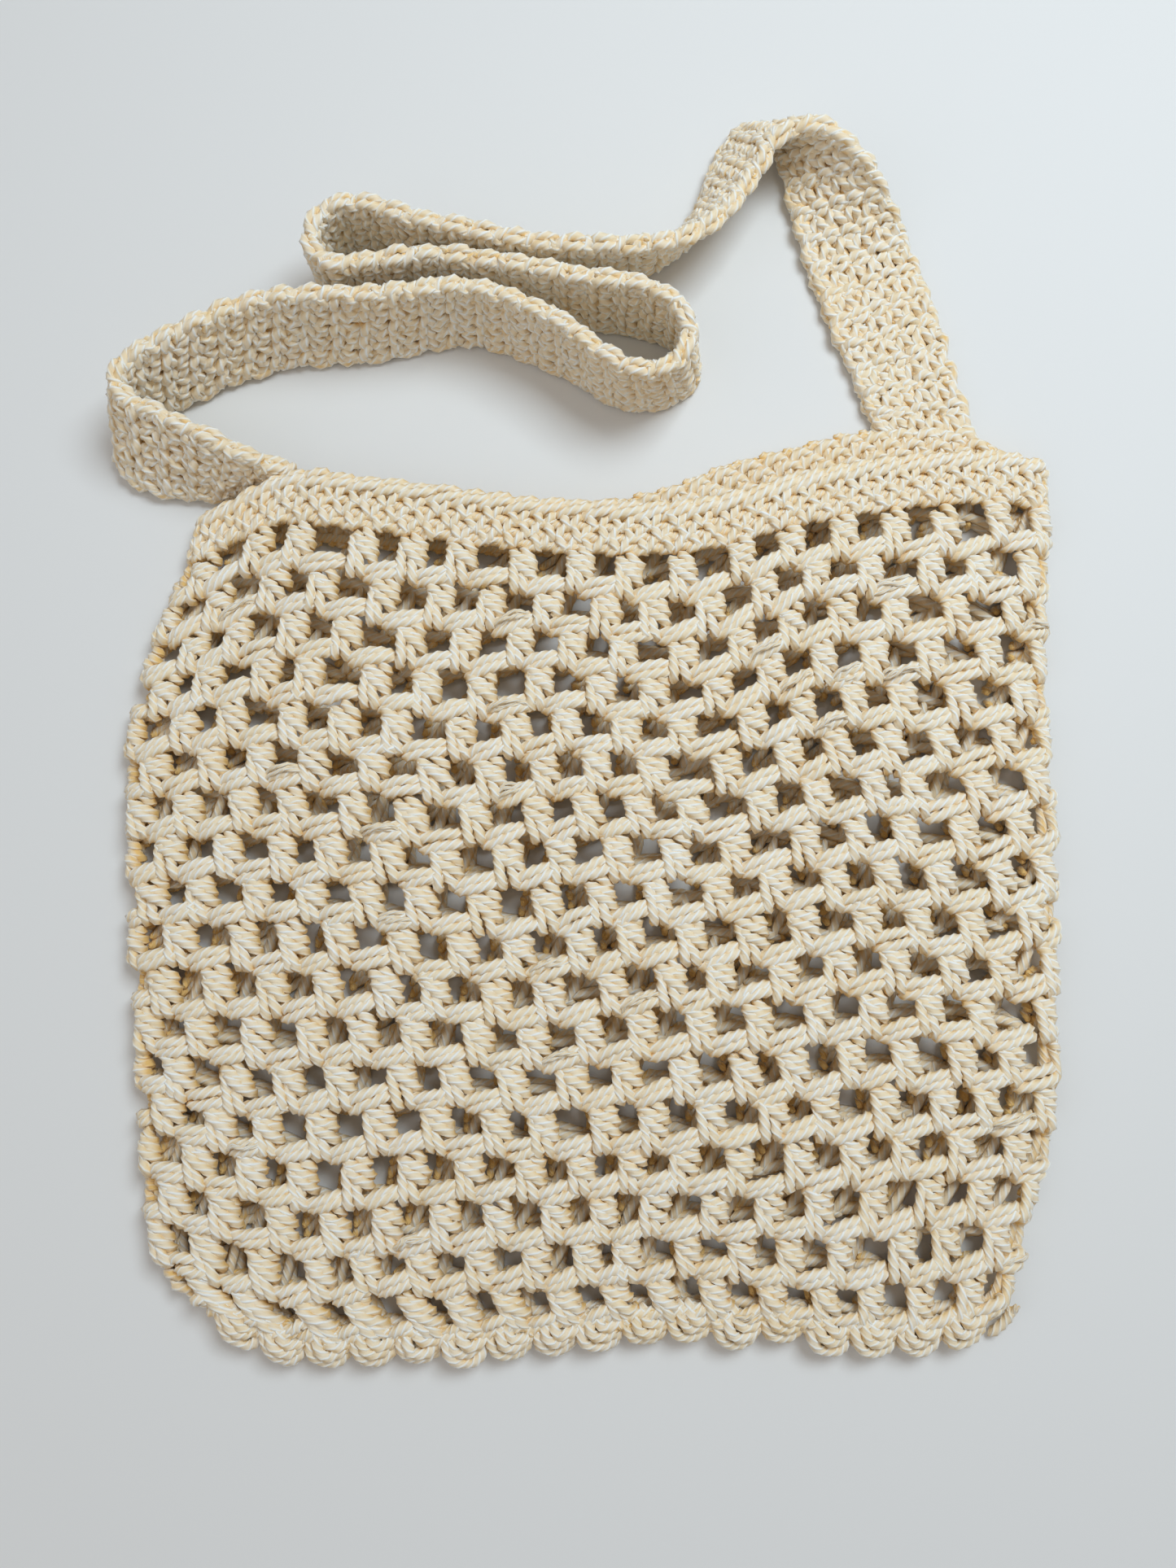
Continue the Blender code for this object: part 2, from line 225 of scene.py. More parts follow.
@dataclass
class BagSkin:
    """The bag's outer skin: a flattened tube, by place around it and height.

    Places around count mesh cells: 0 at the left fold, half of them across the front to
    the right fold, then back across the underside. The section is two flat sides joined
    by half circles, and its thickness swells in the middle. Sizes are in metres, and the
    waves' drifts in cells, rows and metres.
    """

    fold: float = FOLD_THICKNESS / 2
    half_way: float = CELLS_AROUND / 2
    pitch: float = 0.01614
    foot: float = 1.5 * MILLI
    least_closing: float = 0.02
    wave_count: int = 7
    wave_crest: float = 2.6
    calm_rows: float = 2.0
    cell_drift: float = 0.10
    row_drift: float = 0.13
    out_drift: float = 0.5 * MILLI

    def __post_init__(self) -> None:
        """Draws the slow waves that keep the mesh from being even."""
        draw = np.random.default_rng(41)
        self.waves = [
            (draw.integers(1, 9), draw.uniform(0.15, 0.8), draw.uniform(0, 2 * math.pi, 3))
            for _ in range(self.wave_count)
        ]

    @property
    def arc(self) -> float:
        """The cells that lie round the quarter circle on one side of a fold."""
        return self.fold * math.pi / 2 / self.pitch

    def seam_line(self, across: Array) -> Array:
        """The seam's centre line, a seam's radius inside the bottom line."""
        rise = along_table(BOTTOM_LINE, across)[..., 0]
        return BAG_HEIGHT * (rise - 0.5) + SEAM_RADIUS

    def bottom(self, across: Array) -> Array:
        """The body's lowest line, clear of the seam below it.

        Args:
            across: Places across, -1 to 1.

        Returns:
            The y of the line at each place.
        """
        reach = self.fold + SEAM_RADIUS + EDGE_GAP
        apart = math.sqrt(reach**2 - (self.fold - SEAM_RADIUS) ** 2)
        return self.seam_line(across) + apart - self.fold

    def mouth(self, across: Array, front: Array) -> Array:
        """The mouth's edge, between the back panel's line and the front's.

        Args:
            across: Places across, -1 to 1.
            front: 1 on the front panel, 0 on the back.

        Returns:
            The y of the edge at each place.
        """
        lines = along_table(MOUTH_LINE, across)
        rise = front * lines[..., 0] + (1.0 - front) * lines[..., 1]
        return BAG_HEIGHT * (rise + 0.5)

    def sides(self, height: Array) -> tuple[Array, Array]:
        """The middle and half the width, from the sides' outlines.

        Args:
            height: Shares of the height, 0 at the bottom.

        Returns:
            The x of the middle, and half the width.
        """
        edges = along_table(SIDE_OUTLINE, height) * BAG_WIDTH / 2
        left, right = -edges[..., 0], edges[..., 1]
        return (left + right) / 2, (right - left) / 2

    def thickness(self, across: Array, height: Array) -> Array:
        """Two layers at the folds and the bottom, fuller in the middle, plus the swells.

        The fullness falls away with the fourth power of the place across and the sixth
        of the height left, and each swell is a bell curve.

        Args:
            across: Places across, -1 to 1.
            height: Shares of the height.

        Returns:
            The thickness in metres.
        """
        flat_sides = 1.0 - across**4
        flat_bottom = 1.0 - (1.0 - height) ** 6
        full = MIDDLE_THICKNESS - FOLD_THICKNESS
        for centre, level, spread, lift in SWELLS:
            away = ((across - centre) / (2 * spread)) ** 2
            away = away + ((height - level) * BAG_HEIGHT / (BAG_WIDTH * spread)) ** 2
            full = full + lift * MIDDLE_THICKNESS * np.exp(-away)
        return FOLD_THICKNESS + full * flat_sides * flat_bottom

    def section(self, around: Array) -> tuple[Array, Array, Array]:
        """Where places around lie in the section, by straight stretches.

        Args:
            around: Places around in cells.

        Returns:
            The place across, -1 or 1 for the nearer fold, and the angle round the fold.
        """
        around = np.mod(around, CELLS_AROUND)
        knots = [0, self.arc, self.half_way - self.arc, self.half_way]
        knots += [self.half_way + self.arc, CELLS_AROUND - self.arc, CELLS_AROUND]
        across = np.interp(around, knots, [-1, -1, 1, 1, 1, -1, -1])
        angle = np.interp(around, knots, np.radians([0, 90, 90, 0, -90, -90, 0]))
        near_left = (around < self.arc) | (around > CELLS_AROUND - self.arc)
        return across, np.where(near_left, -1.0, 1.0), angle

    def points(self, around: Array, y: Array) -> Array:
        """Points of the skin: x = middle + across + round fold, z = half thickness up.

        Args:
            around: Places around in cells.
            y: Their y in metres.

        Returns:
            The points.
        """
        across, side, angle = self.section(around)
        front = (1.0 + np.sin(angle)) / 2
        low = self.bottom(across)
        height = np.clip((y - low) / (self.mouth(across, front) - low), 0.0, 1.0)
        centre, half = self.sides(height)
        deep = self.thickness(across, height)
        under = np.clip((low + self.fold - y) / self.fold, 0.0, 1.0)
        closing = np.sqrt(np.clip(1.0 - under**2, self.least_closing, 1.0))
        x = centre + across * (half - self.fold)
        x = x + side * np.cos(angle) * self.fold * closing
        z = deep / 2 * (1.0 + np.sin(angle) * closing)
        return np.stack([x, y, z], axis=-1)

    def raised(self, around: Array, y: Array, out: Array) -> tuple[Array, Array]:
        """Points at a distance out from the skin, along the cross of its two slopes.

        Args:
            around: Places around in cells.
            y: Their y in metres.
            out: Distances out, in metres.

        Returns:
            Points, and the outward direction at each.
        """
        cells, metres = 0.02, 2e-4
        here = self.points(around, y)
        along = self.points(around + cells, y) - self.points(around - cells, y)
        upward = self.points(around, y + metres) - self.points(around, y - metres)
        outward = unit(np.cross(along, upward))
        return here + outward * out[..., None], outward

    def drift(self, around: Array, row: Array, which: int) -> Array:
        """A slow sum of waves over the mesh, about -1 to 1.

        Args:
            around: Places around in cells.
            row: Heights in rows.
            which: Which of the waves' three starts to use.

        Returns:
            The sum at each place.
        """
        total = np.zeros(np.broadcast(around, row).shape)
        for turns, climb, starts in self.waves:
            phase = 2 * math.pi * turns * around / CELLS_AROUND + climb * row
            total = total + np.sin(phase + starts[which])
        return total / self.wave_crest

    def mesh(self, around: Array, row: Array, out: Array) -> tuple[Array, Array]:
        """The mesh cloth: rows shared out evenly from the seam to the rim.

        The slow waves move it every way, and die away towards the seam and the rim.

        Args:
            around: Places around in cells.
            row: Height in mesh rows, 0 at the seam.
            out: Distance out from the skin, in metres.

        Returns:
            Points, and the outward direction at each.
        """
        from_rim = np.clip((MESH_ROWS - row) / self.calm_rows, 0.0, 1.0)
        free = from_rim * np.clip(row / self.calm_rows, 0.0, 1.0)
        across, _, angle = self.section(around)
        front = (1.0 + np.sin(angle)) / 2
        low = self.bottom(across) + self.foot
        high = self.mouth(across, front) - RIM_HEIGHT - EDGE_GAP
        level = row + self.row_drift * free * self.drift(around, row, 0)
        y = low + level / MESH_ROWS * (high - low)
        out = out + self.out_drift * free * self.drift(around, row, 2)
        placed = around + self.cell_drift * free * self.drift(around, row, 1)
        return self.raised(placed, y, out)

    def rim(self, around: Array, down: Array, out: Array) -> tuple[Array, Array]:
        """The rim cloth, measured from the mouth's edge.

        Args:
            around: Places around in cells.
            down: Height from the edge in millimetres, negative below it.
            out: Distance out from the skin, in metres.

        Returns:
            Points, and the outward direction at each.
        """
        across, _, angle = self.section(around)
        y = self.mouth(across, (1.0 + np.sin(angle)) / 2) + down * MILLI
        return self.raised(around, y, out)


@dataclass
class StrapRibbon:
    """The strap's ribbon: a straight line across, carried along the folded path.

    Over the last stretch before the left end its upper edge is drawn in towards the lower,
    so that the yarn narrows to meet the rim.
    """

    skin: BagSkin
    samples: int = 900
    seat_probes: int = 9
    draws_in: float = 0.030
    drawn_share: float = 0.36
    most_drawn: float = 1.4
    turned_edge: float = 0.14
    face_at_edge: float = 0.05

    def __post_init__(self) -> None:
        """Works out the ribbon's sections, evenly spaced along its middle."""
        rows = np.array(STRAP_STATIONS, dtype=float)
        rows[0, 1] = self.seat(rows[0, 0])
        route = np.column_stack([rows[:, 0] * BAG_WIDTH, rows[:, 1] * STRAP_REACH])
        steps = np.linalg.norm(np.diff(route, axis=0), axis=1)
        keys = np.concatenate([[0.0], np.cumsum(steps)])
        table = np.column_stack([keys, rows])
        found = along_table(table, np.linspace(0.0, keys[-1], self.samples))
        across, beyond, turn, rise, width = found.T
        turn, rise = np.radians(turn), np.radians(np.clip(rise, 0.0, 90.0))
        half = width * STRAP_WIDTH / 2
        x = across * BAG_WIDTH
        y = BAG_HEIGHT / 2 + beyond * STRAP_REACH
        z = half * np.sin(rise) + STRAP_THICKNESS / 2 * np.cos(rise)
        self.centre = np.stack([x, y, z], axis=-1)
        flat = np.cos(rise)
        self.axis = np.stack([flat * np.cos(turn), flat * np.sin(turn), np.sin(rise)], axis=-1)
        self.half = half
        gone = np.linalg.norm(np.diff(self.centre, axis=0), axis=1)
        self.along = np.concatenate([[0.0], np.cumsum(gone)])
        self.tangent = unit(np.gradient(self.centre, axis=0))
        self.normal = unit(np.cross(self.tangent, self.axis))

    @property
    def length(self) -> float:
        """The strap's length along its middle."""
        return float(self.along[-1])

    def seat(self, root: float) -> float:
        """The strap's start, on the highest part of the back rim under it.

        Args:
            root: Its place across, as a share of the width.

        Returns:
            Its place beyond the mouth line, as a share of the strap's reach.
        """
        centre, half = self.skin.sides(np.ones(1))
        spread = np.linspace(-0.5, 0.5, self.seat_probes) * STRAP_WIDTH
        across = (root * BAG_WIDTH + spread - centre) / (half - self.skin.fold)
        seat = self.skin.mouth(across, np.zeros(self.seat_probes)).max() + CLEARANCE
        return float(seat - BAG_HEIGHT / 2) / STRAP_REACH

    def read(self, values: Array, along: Array) -> Array:
        """Rows of values at distances along the strap, on straight stretches."""
        columns = [np.interp(along, self.along, column) for column in values.T]
        return np.stack(columns, axis=-1)

    def cloth(self, across: Array, along: Array, out: Array) -> tuple[Array, Array]:
        """The strap's cloth.

        Args:
            across: Share of half the width, -1 at the lower edge to 1 at the upper.
            along: Distance along the strap in metres; past an end it runs on straight.
            out: Distance from the ribbon's middle, in metres, either way.

        Returns:
            Points, and the direction away from the ribbon's middle at each.
        """
        inside = np.clip(along, 0.0, self.length)
        tangent = self.read(self.tangent, inside)
        centre = self.read(self.centre, inside) + tangent * (along - inside)[..., None]
        width = np.interp(inside, self.along, self.half)[..., None]
        axis, normal = self.read(self.axis, inside), unit(self.read(self.normal, inside))
        last = (along - self.length + self.draws_in) / self.draws_in
        drawn = np.clip(last, 0.0, self.most_drawn)
        placed = across - self.drawn_share * drawn * (1.0 + across) / self.most_drawn
        points = centre + axis * placed[..., None] * width + normal * out[..., None]
        edge = np.clip(np.abs(across) - (1.0 - self.turned_edge), 0.0, self.turned_edge)
        edge = edge / self.turned_edge
        face = np.where(out < 0, -1.0, 1.0) * (1.0 + self.face_at_edge - edge)
        away = normal * face[..., None]
        return points, unit(away + axis * (np.sign(across) * edge)[..., None])


@dataclass(frozen=True)
class Gauge:
    """How thick a yarn is and how finely it is drawn; turn is one twist of its plies."""

    radius: float = 1.62 * MILLI
    step: float = 1.35 * MILLI
    sides: int = 8
    groove: float = 0.15
    turn: float = 10.0 * MILLI
    flatten: float = 0.92


@dataclass(frozen=True)
class Strand:
    """A length of yarn in one stitch: rows of millimetres across, up and out.

    Its thickness is a share of the gauge's. One that is inside lies at the back of its
    cloth, where it is given painted shade.
    """

    path: tuple[Place, ...]
    thick: float = 1.0
    inside: bool = False

    def weights(self, step: float) -> Array:
        """How much each point of the path counts in each ring, on a smooth curve.

        The curve is a cubic through the points, whose slope at each is that of its two
        neighbours, with its ends carried on straight. It is read at even distances.

        Args:
            step: Distance between rings, in metres.

        Returns:
            A matrix of rings by points.
        """
        path = np.asarray(self.path, dtype=float) * MILLI
        count = len(path)
        samples = 24 * count
        fine = self.basis(np.linspace(0.0, count - 1.0, samples), count)
        gone = np.linalg.norm(np.diff(fine @ path, axis=0), axis=1)
        gone = np.concatenate([[0.0], np.cumsum(gone)])
        rings = max(4, round(gone[-1] / step) + 1)
        spaced = np.linspace(0.0, gone[-1], rings)
        keys = np.interp(spaced, gone, np.linspace(0.0, count - 1.0, samples))
        return self.basis(keys, count)

    def basis(self, key: Array, count: int) -> Array:
        """The share of each point in the cubic at each key.

        Args:
            key: Places along the path, counted in points.
            count: How many points the path has.

        Returns:
            A matrix of keys by points.
        """
        low = np.clip(key.astype(int), 0, count - 2)
        t = key - low
        shares = (
            -0.5 * t + t**2 - 0.5 * t**3,
            1.0 - 2.5 * t**2 + 1.5 * t**3,
            0.5 * t + 2.0 * t**2 - 1.5 * t**3,
            -0.5 * t**2 + 0.5 * t**3,
        )
        full = np.zeros((len(key), count + 2))
        at = np.arange(len(key))
        for shift, share in enumerate(shares):
            full[at, low + shift] += share
        full[:, 1] += 2.0 * full[:, 0]
        full[:, 2] -= full[:, 0]
        full[:, -2] += 2.0 * full[:, -1]
        full[:, -3] -= full[:, -1]
        return full[:, 1:-1]


@dataclass
class Skein:
    """Lengths of plied yarn gathered into one mesh.

    Each length is a tube of rings. Every other point of a ring stands out, and each ring
    is turned by one point from the last, so the ridges run round the yarn as plies. A
    painted shade share darkens each point where it is hidden: on the yarn's sides, deep
    in its cloth, at its ends.
    """

    gauge: Gauge
    seed: int
    uneven: Place = (0.20, 0.20, 0.14)
    whole_shift: float = 1.3
    ply_squares: int = 8
    end_taper: float = 0.6
    tip_reach: float = 0.5
    floor_gap: float = 0.0003
    # Painted shade shares: on the yarn's sides, deep in its cloth past a depth, and at its ends
    side_shade: float = 0.62
    deep_shade: float = 0.5
    end_shade: float = 0.8
    deep_from: float = 1.2 * MILLI
    deep_over: float = 3.4 * MILLI
    # Depths given to yarn at the back of its cloth and to plain cores, only for their painted
    # shade
    inside_painted_shade_height: float = -2.0 * MILLI
    core_painted_shade_height: float = -3.0 * MILLI
    core_step: float = 2.3 * MILLI
    core_sides: int = 6
    pattern_starts: int = 40

    def __post_init__(self) -> None:
        """Starts an empty skein."""
        self.draw = np.random.default_rng(self.seed)
        self.points: list[Array] = []
        self.faces: list[Array] = []
        self.corners: list[Array] = []
        self.painted_shade: list[Array] = []
        self.tint: list[Array] = []
        self.count = 0

    def lay(
        self,
        cloth: Cloth,
        strand: Strand,
        origins: Array,
        scale: tuple[float, float],
        loose: float = 1.0,
        lift: Array | float = 0.0,
        flip: Array | float = 1.0,
        face: Array | float = 1.0,
    ) -> None:
        """Lays the same length of yarn at each origin on a cloth, a little uneven.

        Args:
            cloth: Turns places across, along and out into points and directions.
            strand: The length of yarn, in millimetres.
            origins: Places on the cloth, one row each.
            scale: Cloth units to one millimetre, across and along.
            loose: How uneven, 1 for the usual.
            lift: Metres added to the distance out.
            flip: -1 mirrors a length across its stitch.
            face: -1 lays it on the other face of a flat ribbon.
        """
        gauge = self.gauge
        weights = strand.weights(gauge.step)
        path = np.asarray(strand.path, dtype=float)
        count = len(origins)
        uneven = np.array(self.uneven) * loose
        shift = self.draw.normal(0.0, 1.0, (count, 1, 3)) * uneven * self.whole_shift
        wander = self.draw.normal(0.0, 1.0, (count, len(path), 3)) * uneven
        rings = weights @ (path + shift + wander)
        flip = np.broadcast_to(np.asarray(flip, dtype=float), (count,))[:, None]
        face = np.broadcast_to(np.asarray(face, dtype=float), (count,))[:, None]
        lift = np.broadcast_to(np.asarray(lift, dtype=float), (count,))[:, None]
        across = origins[:, :1] + rings[..., 0] * flip * scale[0]
        along = origins[:, 1:2] + rings[..., 1] * scale[1]
        out = rings[..., 2] * MILLI + lift
        points, outward = cloth(across, along, out * face)
        # Yarn at the back of its cloth gets a set depth, and so painted shade
        if strand.inside:
            height = np.full(out.shape, self.inside_painted_shade_height)
            self.wind(points, -outward, strand.thick, height, gauge)
        else:
            self.wind(points, outward, strand.thick, rings[..., 2] * MILLI, gauge)

    def run(self, cloth: Cloth, across: Array, along: Array, out: float, thick: float) -> None:
        """Runs one long plain yarn inside a cloth, so that no light comes through.

        Args:
            cloth: Turns places across, along and out into points and directions.
            across: Places across, one for each ring.
            along: Places along.
            out: Metres out from the cloth.
            thick: The yarn's thickness as a share of the gauge's.
        """
        plain = Gauge(self.gauge.radius, self.core_step, self.core_sides, groove=0.0)
        shape = (1, len(across))
        points, outward = cloth(across[None], along[None], np.full(shape, out))
        # The core is set deep, so that it gets painted shade
        self.wind(points, outward, thick, np.full(shape, self.core_painted_shade_height), plain)

    def wind(
        self, rings: Array, outward: Array, thick: float, out: Array, gauge: Gauge
    ) -> None:
        """Makes tubes through rows of ring centres, all of them above the floor.

        A ring's points stand round its centre, square to the yarn, at the radius times
        the ridge's swell, the ends' taper and the squash towards the cloth.

        Args:
            rings: Centres, strands by rings by three.
            outward: The cloth's outward direction at each centre.
            thick: The yarn's thickness as a share of the gauge's.
            out: Height of each centre in the cloth, which sets its painted shade.
            gauge: How thick and how fine the tubes are.
        """
        strands, steps = rings.shape[:2]
        radius = gauge.radius * thick
        rings = rings.copy()
        rings[..., 2] = np.maximum(rings[..., 2], radius * (1.0 + gauge.groove))
        tangent = unit(np.gradient(rings, axis=1))
        upright = self.carried(outward, tangent)
        sideways = np.cross(tangent, upright)
        spin = self.draw.uniform(0.0, 2 * math.pi, (strands, 1, 1))
        angle = spin + 2 * math.pi * np.arange(gauge.sides) / gauge.sides
        angle = np.broadcast_to(angle, (strands, steps, gauge.sides))[..., None]
        ring, point = np.arange(steps)[:, None], np.arange(gauge.sides)
        swell = 1.0 + gauge.groove * (1.0 - 2.0 * ((ring + point) % 2))
        taper = np.ones(steps)
        taper[[0, -1]] = self.end_taper
        spoke = np.cos(angle) * upright[:, :, None] + np.sin(angle) * sideways[:, :, None]
        facing = np.abs(np.einsum("srjc,src->srj", spoke, outward))
        squash = 1.0 - (1.0 - gauge.flatten) * facing
        reach = radius * (swell * taper[:, None])[None] * squash
        tube = rings[:, :, None] + spoke * reach[..., None]
        tips = np.stack([rings[:, 0] - tangent[:, 0] * radius * self.tip_reach,
                         rings[:, -1] + tangent[:, -1] * radius * self.tip_reach], axis=1)
        tips[..., 2] = np.maximum(tips[..., 2], self.floor_gap)
        flat = tube.reshape(strands, steps * gauge.sides, 3)
        self.points.append(np.concatenate([flat, tips], axis=1).reshape(-1, 3))
        # Painted shade: darker on the tube's sides, deep in its cloth and at its end tips
        deep = np.clip((-out - self.deep_from) / self.deep_over, 0.0, 1.0)[..., None]
        shade = self.side_shade * (1.0 - facing) + self.deep_shade * deep
        painted_shade = np.clip(shade, 0.0, 1.0)
        ends = np.full((strands, 2), self.end_shade)
        self.painted_shade.append(np.concatenate([painted_shade.reshape(strands, -1), ends], 1).ravel())
        each = steps * gauge.sides + 2
        self.tint.append(np.repeat(self.draw.uniform(0.0, 1.0, strands), each))
        faces, corners = self.one_tube(steps, gauge)
        start = self.count + each * np.arange(strands)[:, None, None]
        self.faces.append((faces[None] + start).reshape(-1, 3))
        turns = self.draw.integers(0, self.pattern_starts, strands)[:, None, None]
        corners = np.broadcast_to(corners, (strands, *corners.shape)).copy()
        corners[..., 1] += turns
        self.corners.append(corners.reshape(-1, 2))
        self.count += strands * each

    def carried(self, outward: Array, tangent: Array) -> Array:
        """A direction square to each tangent, carried along the yarn without turning.

        Args:
            outward: The cloth's outward direction at each centre.
            tangent: The yarn's direction there.

        Returns:
            The carried direction at each centre.
        """
        # Moved aside a little, in case the yarn starts straight out of its cloth
        last = unit(outward[:, 0] + (0.013, 0.021, 0.017))
        kept = []
        for step in range(tangent.shape[1]):
            here = tangent[:, step]
            last = unit(last - np.sum(last * here, axis=-1, keepdims=True) * here)
            kept.append(last)
        return np.stack(kept, axis=1)

    def one_tube(self, steps: int, gauge: Gauge) -> tuple[Array, Array]:
        """The triangles of one tube and where their corners lie in its UV map.

        U runs round the yarn and V along it, counted in turns of the plies, and every
        square is split along the plies.

        Args:
            steps: How many rings the tube has.
            gauge: How many sides it has, and whether it is plied.

        Returns:
            The triangles by point, and the UV places of their corners.
        """
        sides = gauge.sides
        plied = gauge.groove > 0
        part = 1.0 / (self.ply_squares if plied else sides)
        turn = part if plied else gauge.step / gauge.turn
        ring, point = np.meshgrid(np.arange(steps - 1), np.arange(sides), indexing="ij")
        after = (point + 1) % sides
        a, b = ring * sides + point, ring * sides + after
        c, d = a + sides, b + sides
        faces = np.stack([a, b, c, b, d, c], axis=-1).reshape(-1, 3)
        u, v = point * part, ring * turn
        near, far = (u, v), (u + part, v)
        near_up, far_up = (u, v + turn), (u + part, v + turn)
        places = [np.stack(p, -1) for p in (near, far, near_up, far, far_up, near_up)]
        corners = np.stack(places, axis=-2).reshape(-1, 3, 2)
        one = np.arange(sides)
        first, last = steps * sides, steps * sides + 1
        top = (steps - 1) * sides
        start = np.stack([np.full(sides, first), (one + 1) % sides, one], -1)
        end = np.stack([np.full(sides, last), top + one, top + (one + 1) % sides], -1)
        faces = np.concatenate([faces, start, end])
        low = np.stack([(one + 0.5) * part, one * 0.0 - turn], -1)
        high = np.stack([(one + 0.5) * part, one * 0.0 + steps * turn], -1)
        edge = [np.stack([(one + more) * part, one * 0.0], -1) for more in (1, 0)]
        rise = np.array([0.0, (steps - 1) * turn])
        caps = [np.stack([low, edge[0], edge[1]], 1)]
        caps.append(np.stack([high, edge[1] + rise, edge[0] + rise], 1))
        return faces, np.concatenate([corners, *caps])

    def piece(self, name: str, material: bpy.types.Material, node: str) -> bpy.types.Object:
        """The skein as one object that stands for a CAD node.

        Args:
            name: The piece's name.
            material: What it is made of.
            node: The CAD node that it dresses.

        Returns:
            The linked object.
        """
        points = np.concatenate(self.points)
        faces = np.concatenate(self.faces)
        mesh = bpy.data.meshes.new(name)
        mesh.vertices.add(len(points))
        mesh.vertices.foreach_set("co", points.ravel())
        mesh.loops.add(faces.size)
        mesh.loops.foreach_set("vertex_index", faces.ravel())
        mesh.polygons.add(len(faces))
        mesh.polygons.foreach_set("loop_start", np.arange(0, faces.size, 3))
        mesh.uv_layers.new(name="ply").data.foreach_set(
            "uv", np.concatenate(self.corners).ravel()
        )
        # Point attributes for the shader: the painted shade share and a random tint per strand
        for label, values in (("painted_shade", self.painted_shade), ("tint", self.tint)):
            layer = mesh.attributes.new(label, "FLOAT", "POINT")
            layer.data.foreach_set("value", np.concatenate(values))
        mesh.update(calc_edges=True)
        mesh.validate()
        mesh.shade_smooth()
        mesh.materials.append(material)
        made = bpy.data.objects.new(name, mesh)
        bpy.context.scene.collection.objects.link(made)
        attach(made, "root")
        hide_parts(node)
        log.info("%s: %d triangles", name, len(faces))
        return made


class Wiring:
    """Adds nodes to a tree and joins them, with short names for the common ones."""

    def __init__(self, tree: bpy.types.NodeTree) -> None:
        """Works on this tree."""
        self.tree = tree

    def add(self, kind: str, **settings: object) -> bpy.types.Node:
        """Adds a node.

        Args:
            kind: The node's type.
            settings: Attributes to set on it.

        Returns:
            The node.
        """
        node = self.tree.nodes.new(kind)
        for key, value in settings.items():
            setattr(node, key, value)
        return node

    def feed(self, socket: bpy.types.NodeSocket, value: object) -> None:
        """Joins a socket to another, or sets its value.

        Args:
            socket: The socket to feed.
            value: An output socket, or a plain value.
        """
        if isinstance(value, bpy.types.NodeSocket):
            self.tree.links.new(value, socket)
        else:
            socket.default_value = value

    def sum(self, operation: str, *values: object, clamp: bool = False) -> bpy.types.NodeSocket:
        """Adds a Math node.

        Args:
            operation: What it works out.
            values: Its inputs, in order.
            clamp: Whether the result is kept between 0 and 1.

        Returns:
            The result.
        """
        node = self.add("ShaderNodeMath", operation=operation, use_clamp=clamp)
        for socket, value in zip(node.inputs, values):
            self.feed(socket, value)
        return node.outputs[0]

    def blend(self, share: object, low: object, high: object) -> bpy.types.NodeSocket:
        """A colour between two others.

        Args:
            share: How far it is from the first to the second.
            low: The first colour.
            high: The second colour.

        Returns:
            The colour.
        """
        node = self.add("ShaderNodeMix", data_type="RGBA")
        self.feed(node.inputs["Factor"], share)
        self.feed(node.inputs[6], low)
        self.feed(node.inputs[7], high)
        return node.outputs[2]

    def noise(self, vector: object, scale: float, detail: float) -> bpy.types.NodeSocket:
        """A noise between 0 and 1.

        Args:
            vector: Where it is read.
            scale: How fine it is.
            detail: How many finer layers it has.

        Returns:
            The noise.
        """
        node = self.add("ShaderNodeTexNoise")
        self.feed(node.inputs["Vector"], vector)
        self.feed(node.inputs["Scale"], scale)
        self.feed(node.inputs["Detail"], detail)
        return node.outputs["Fac"]


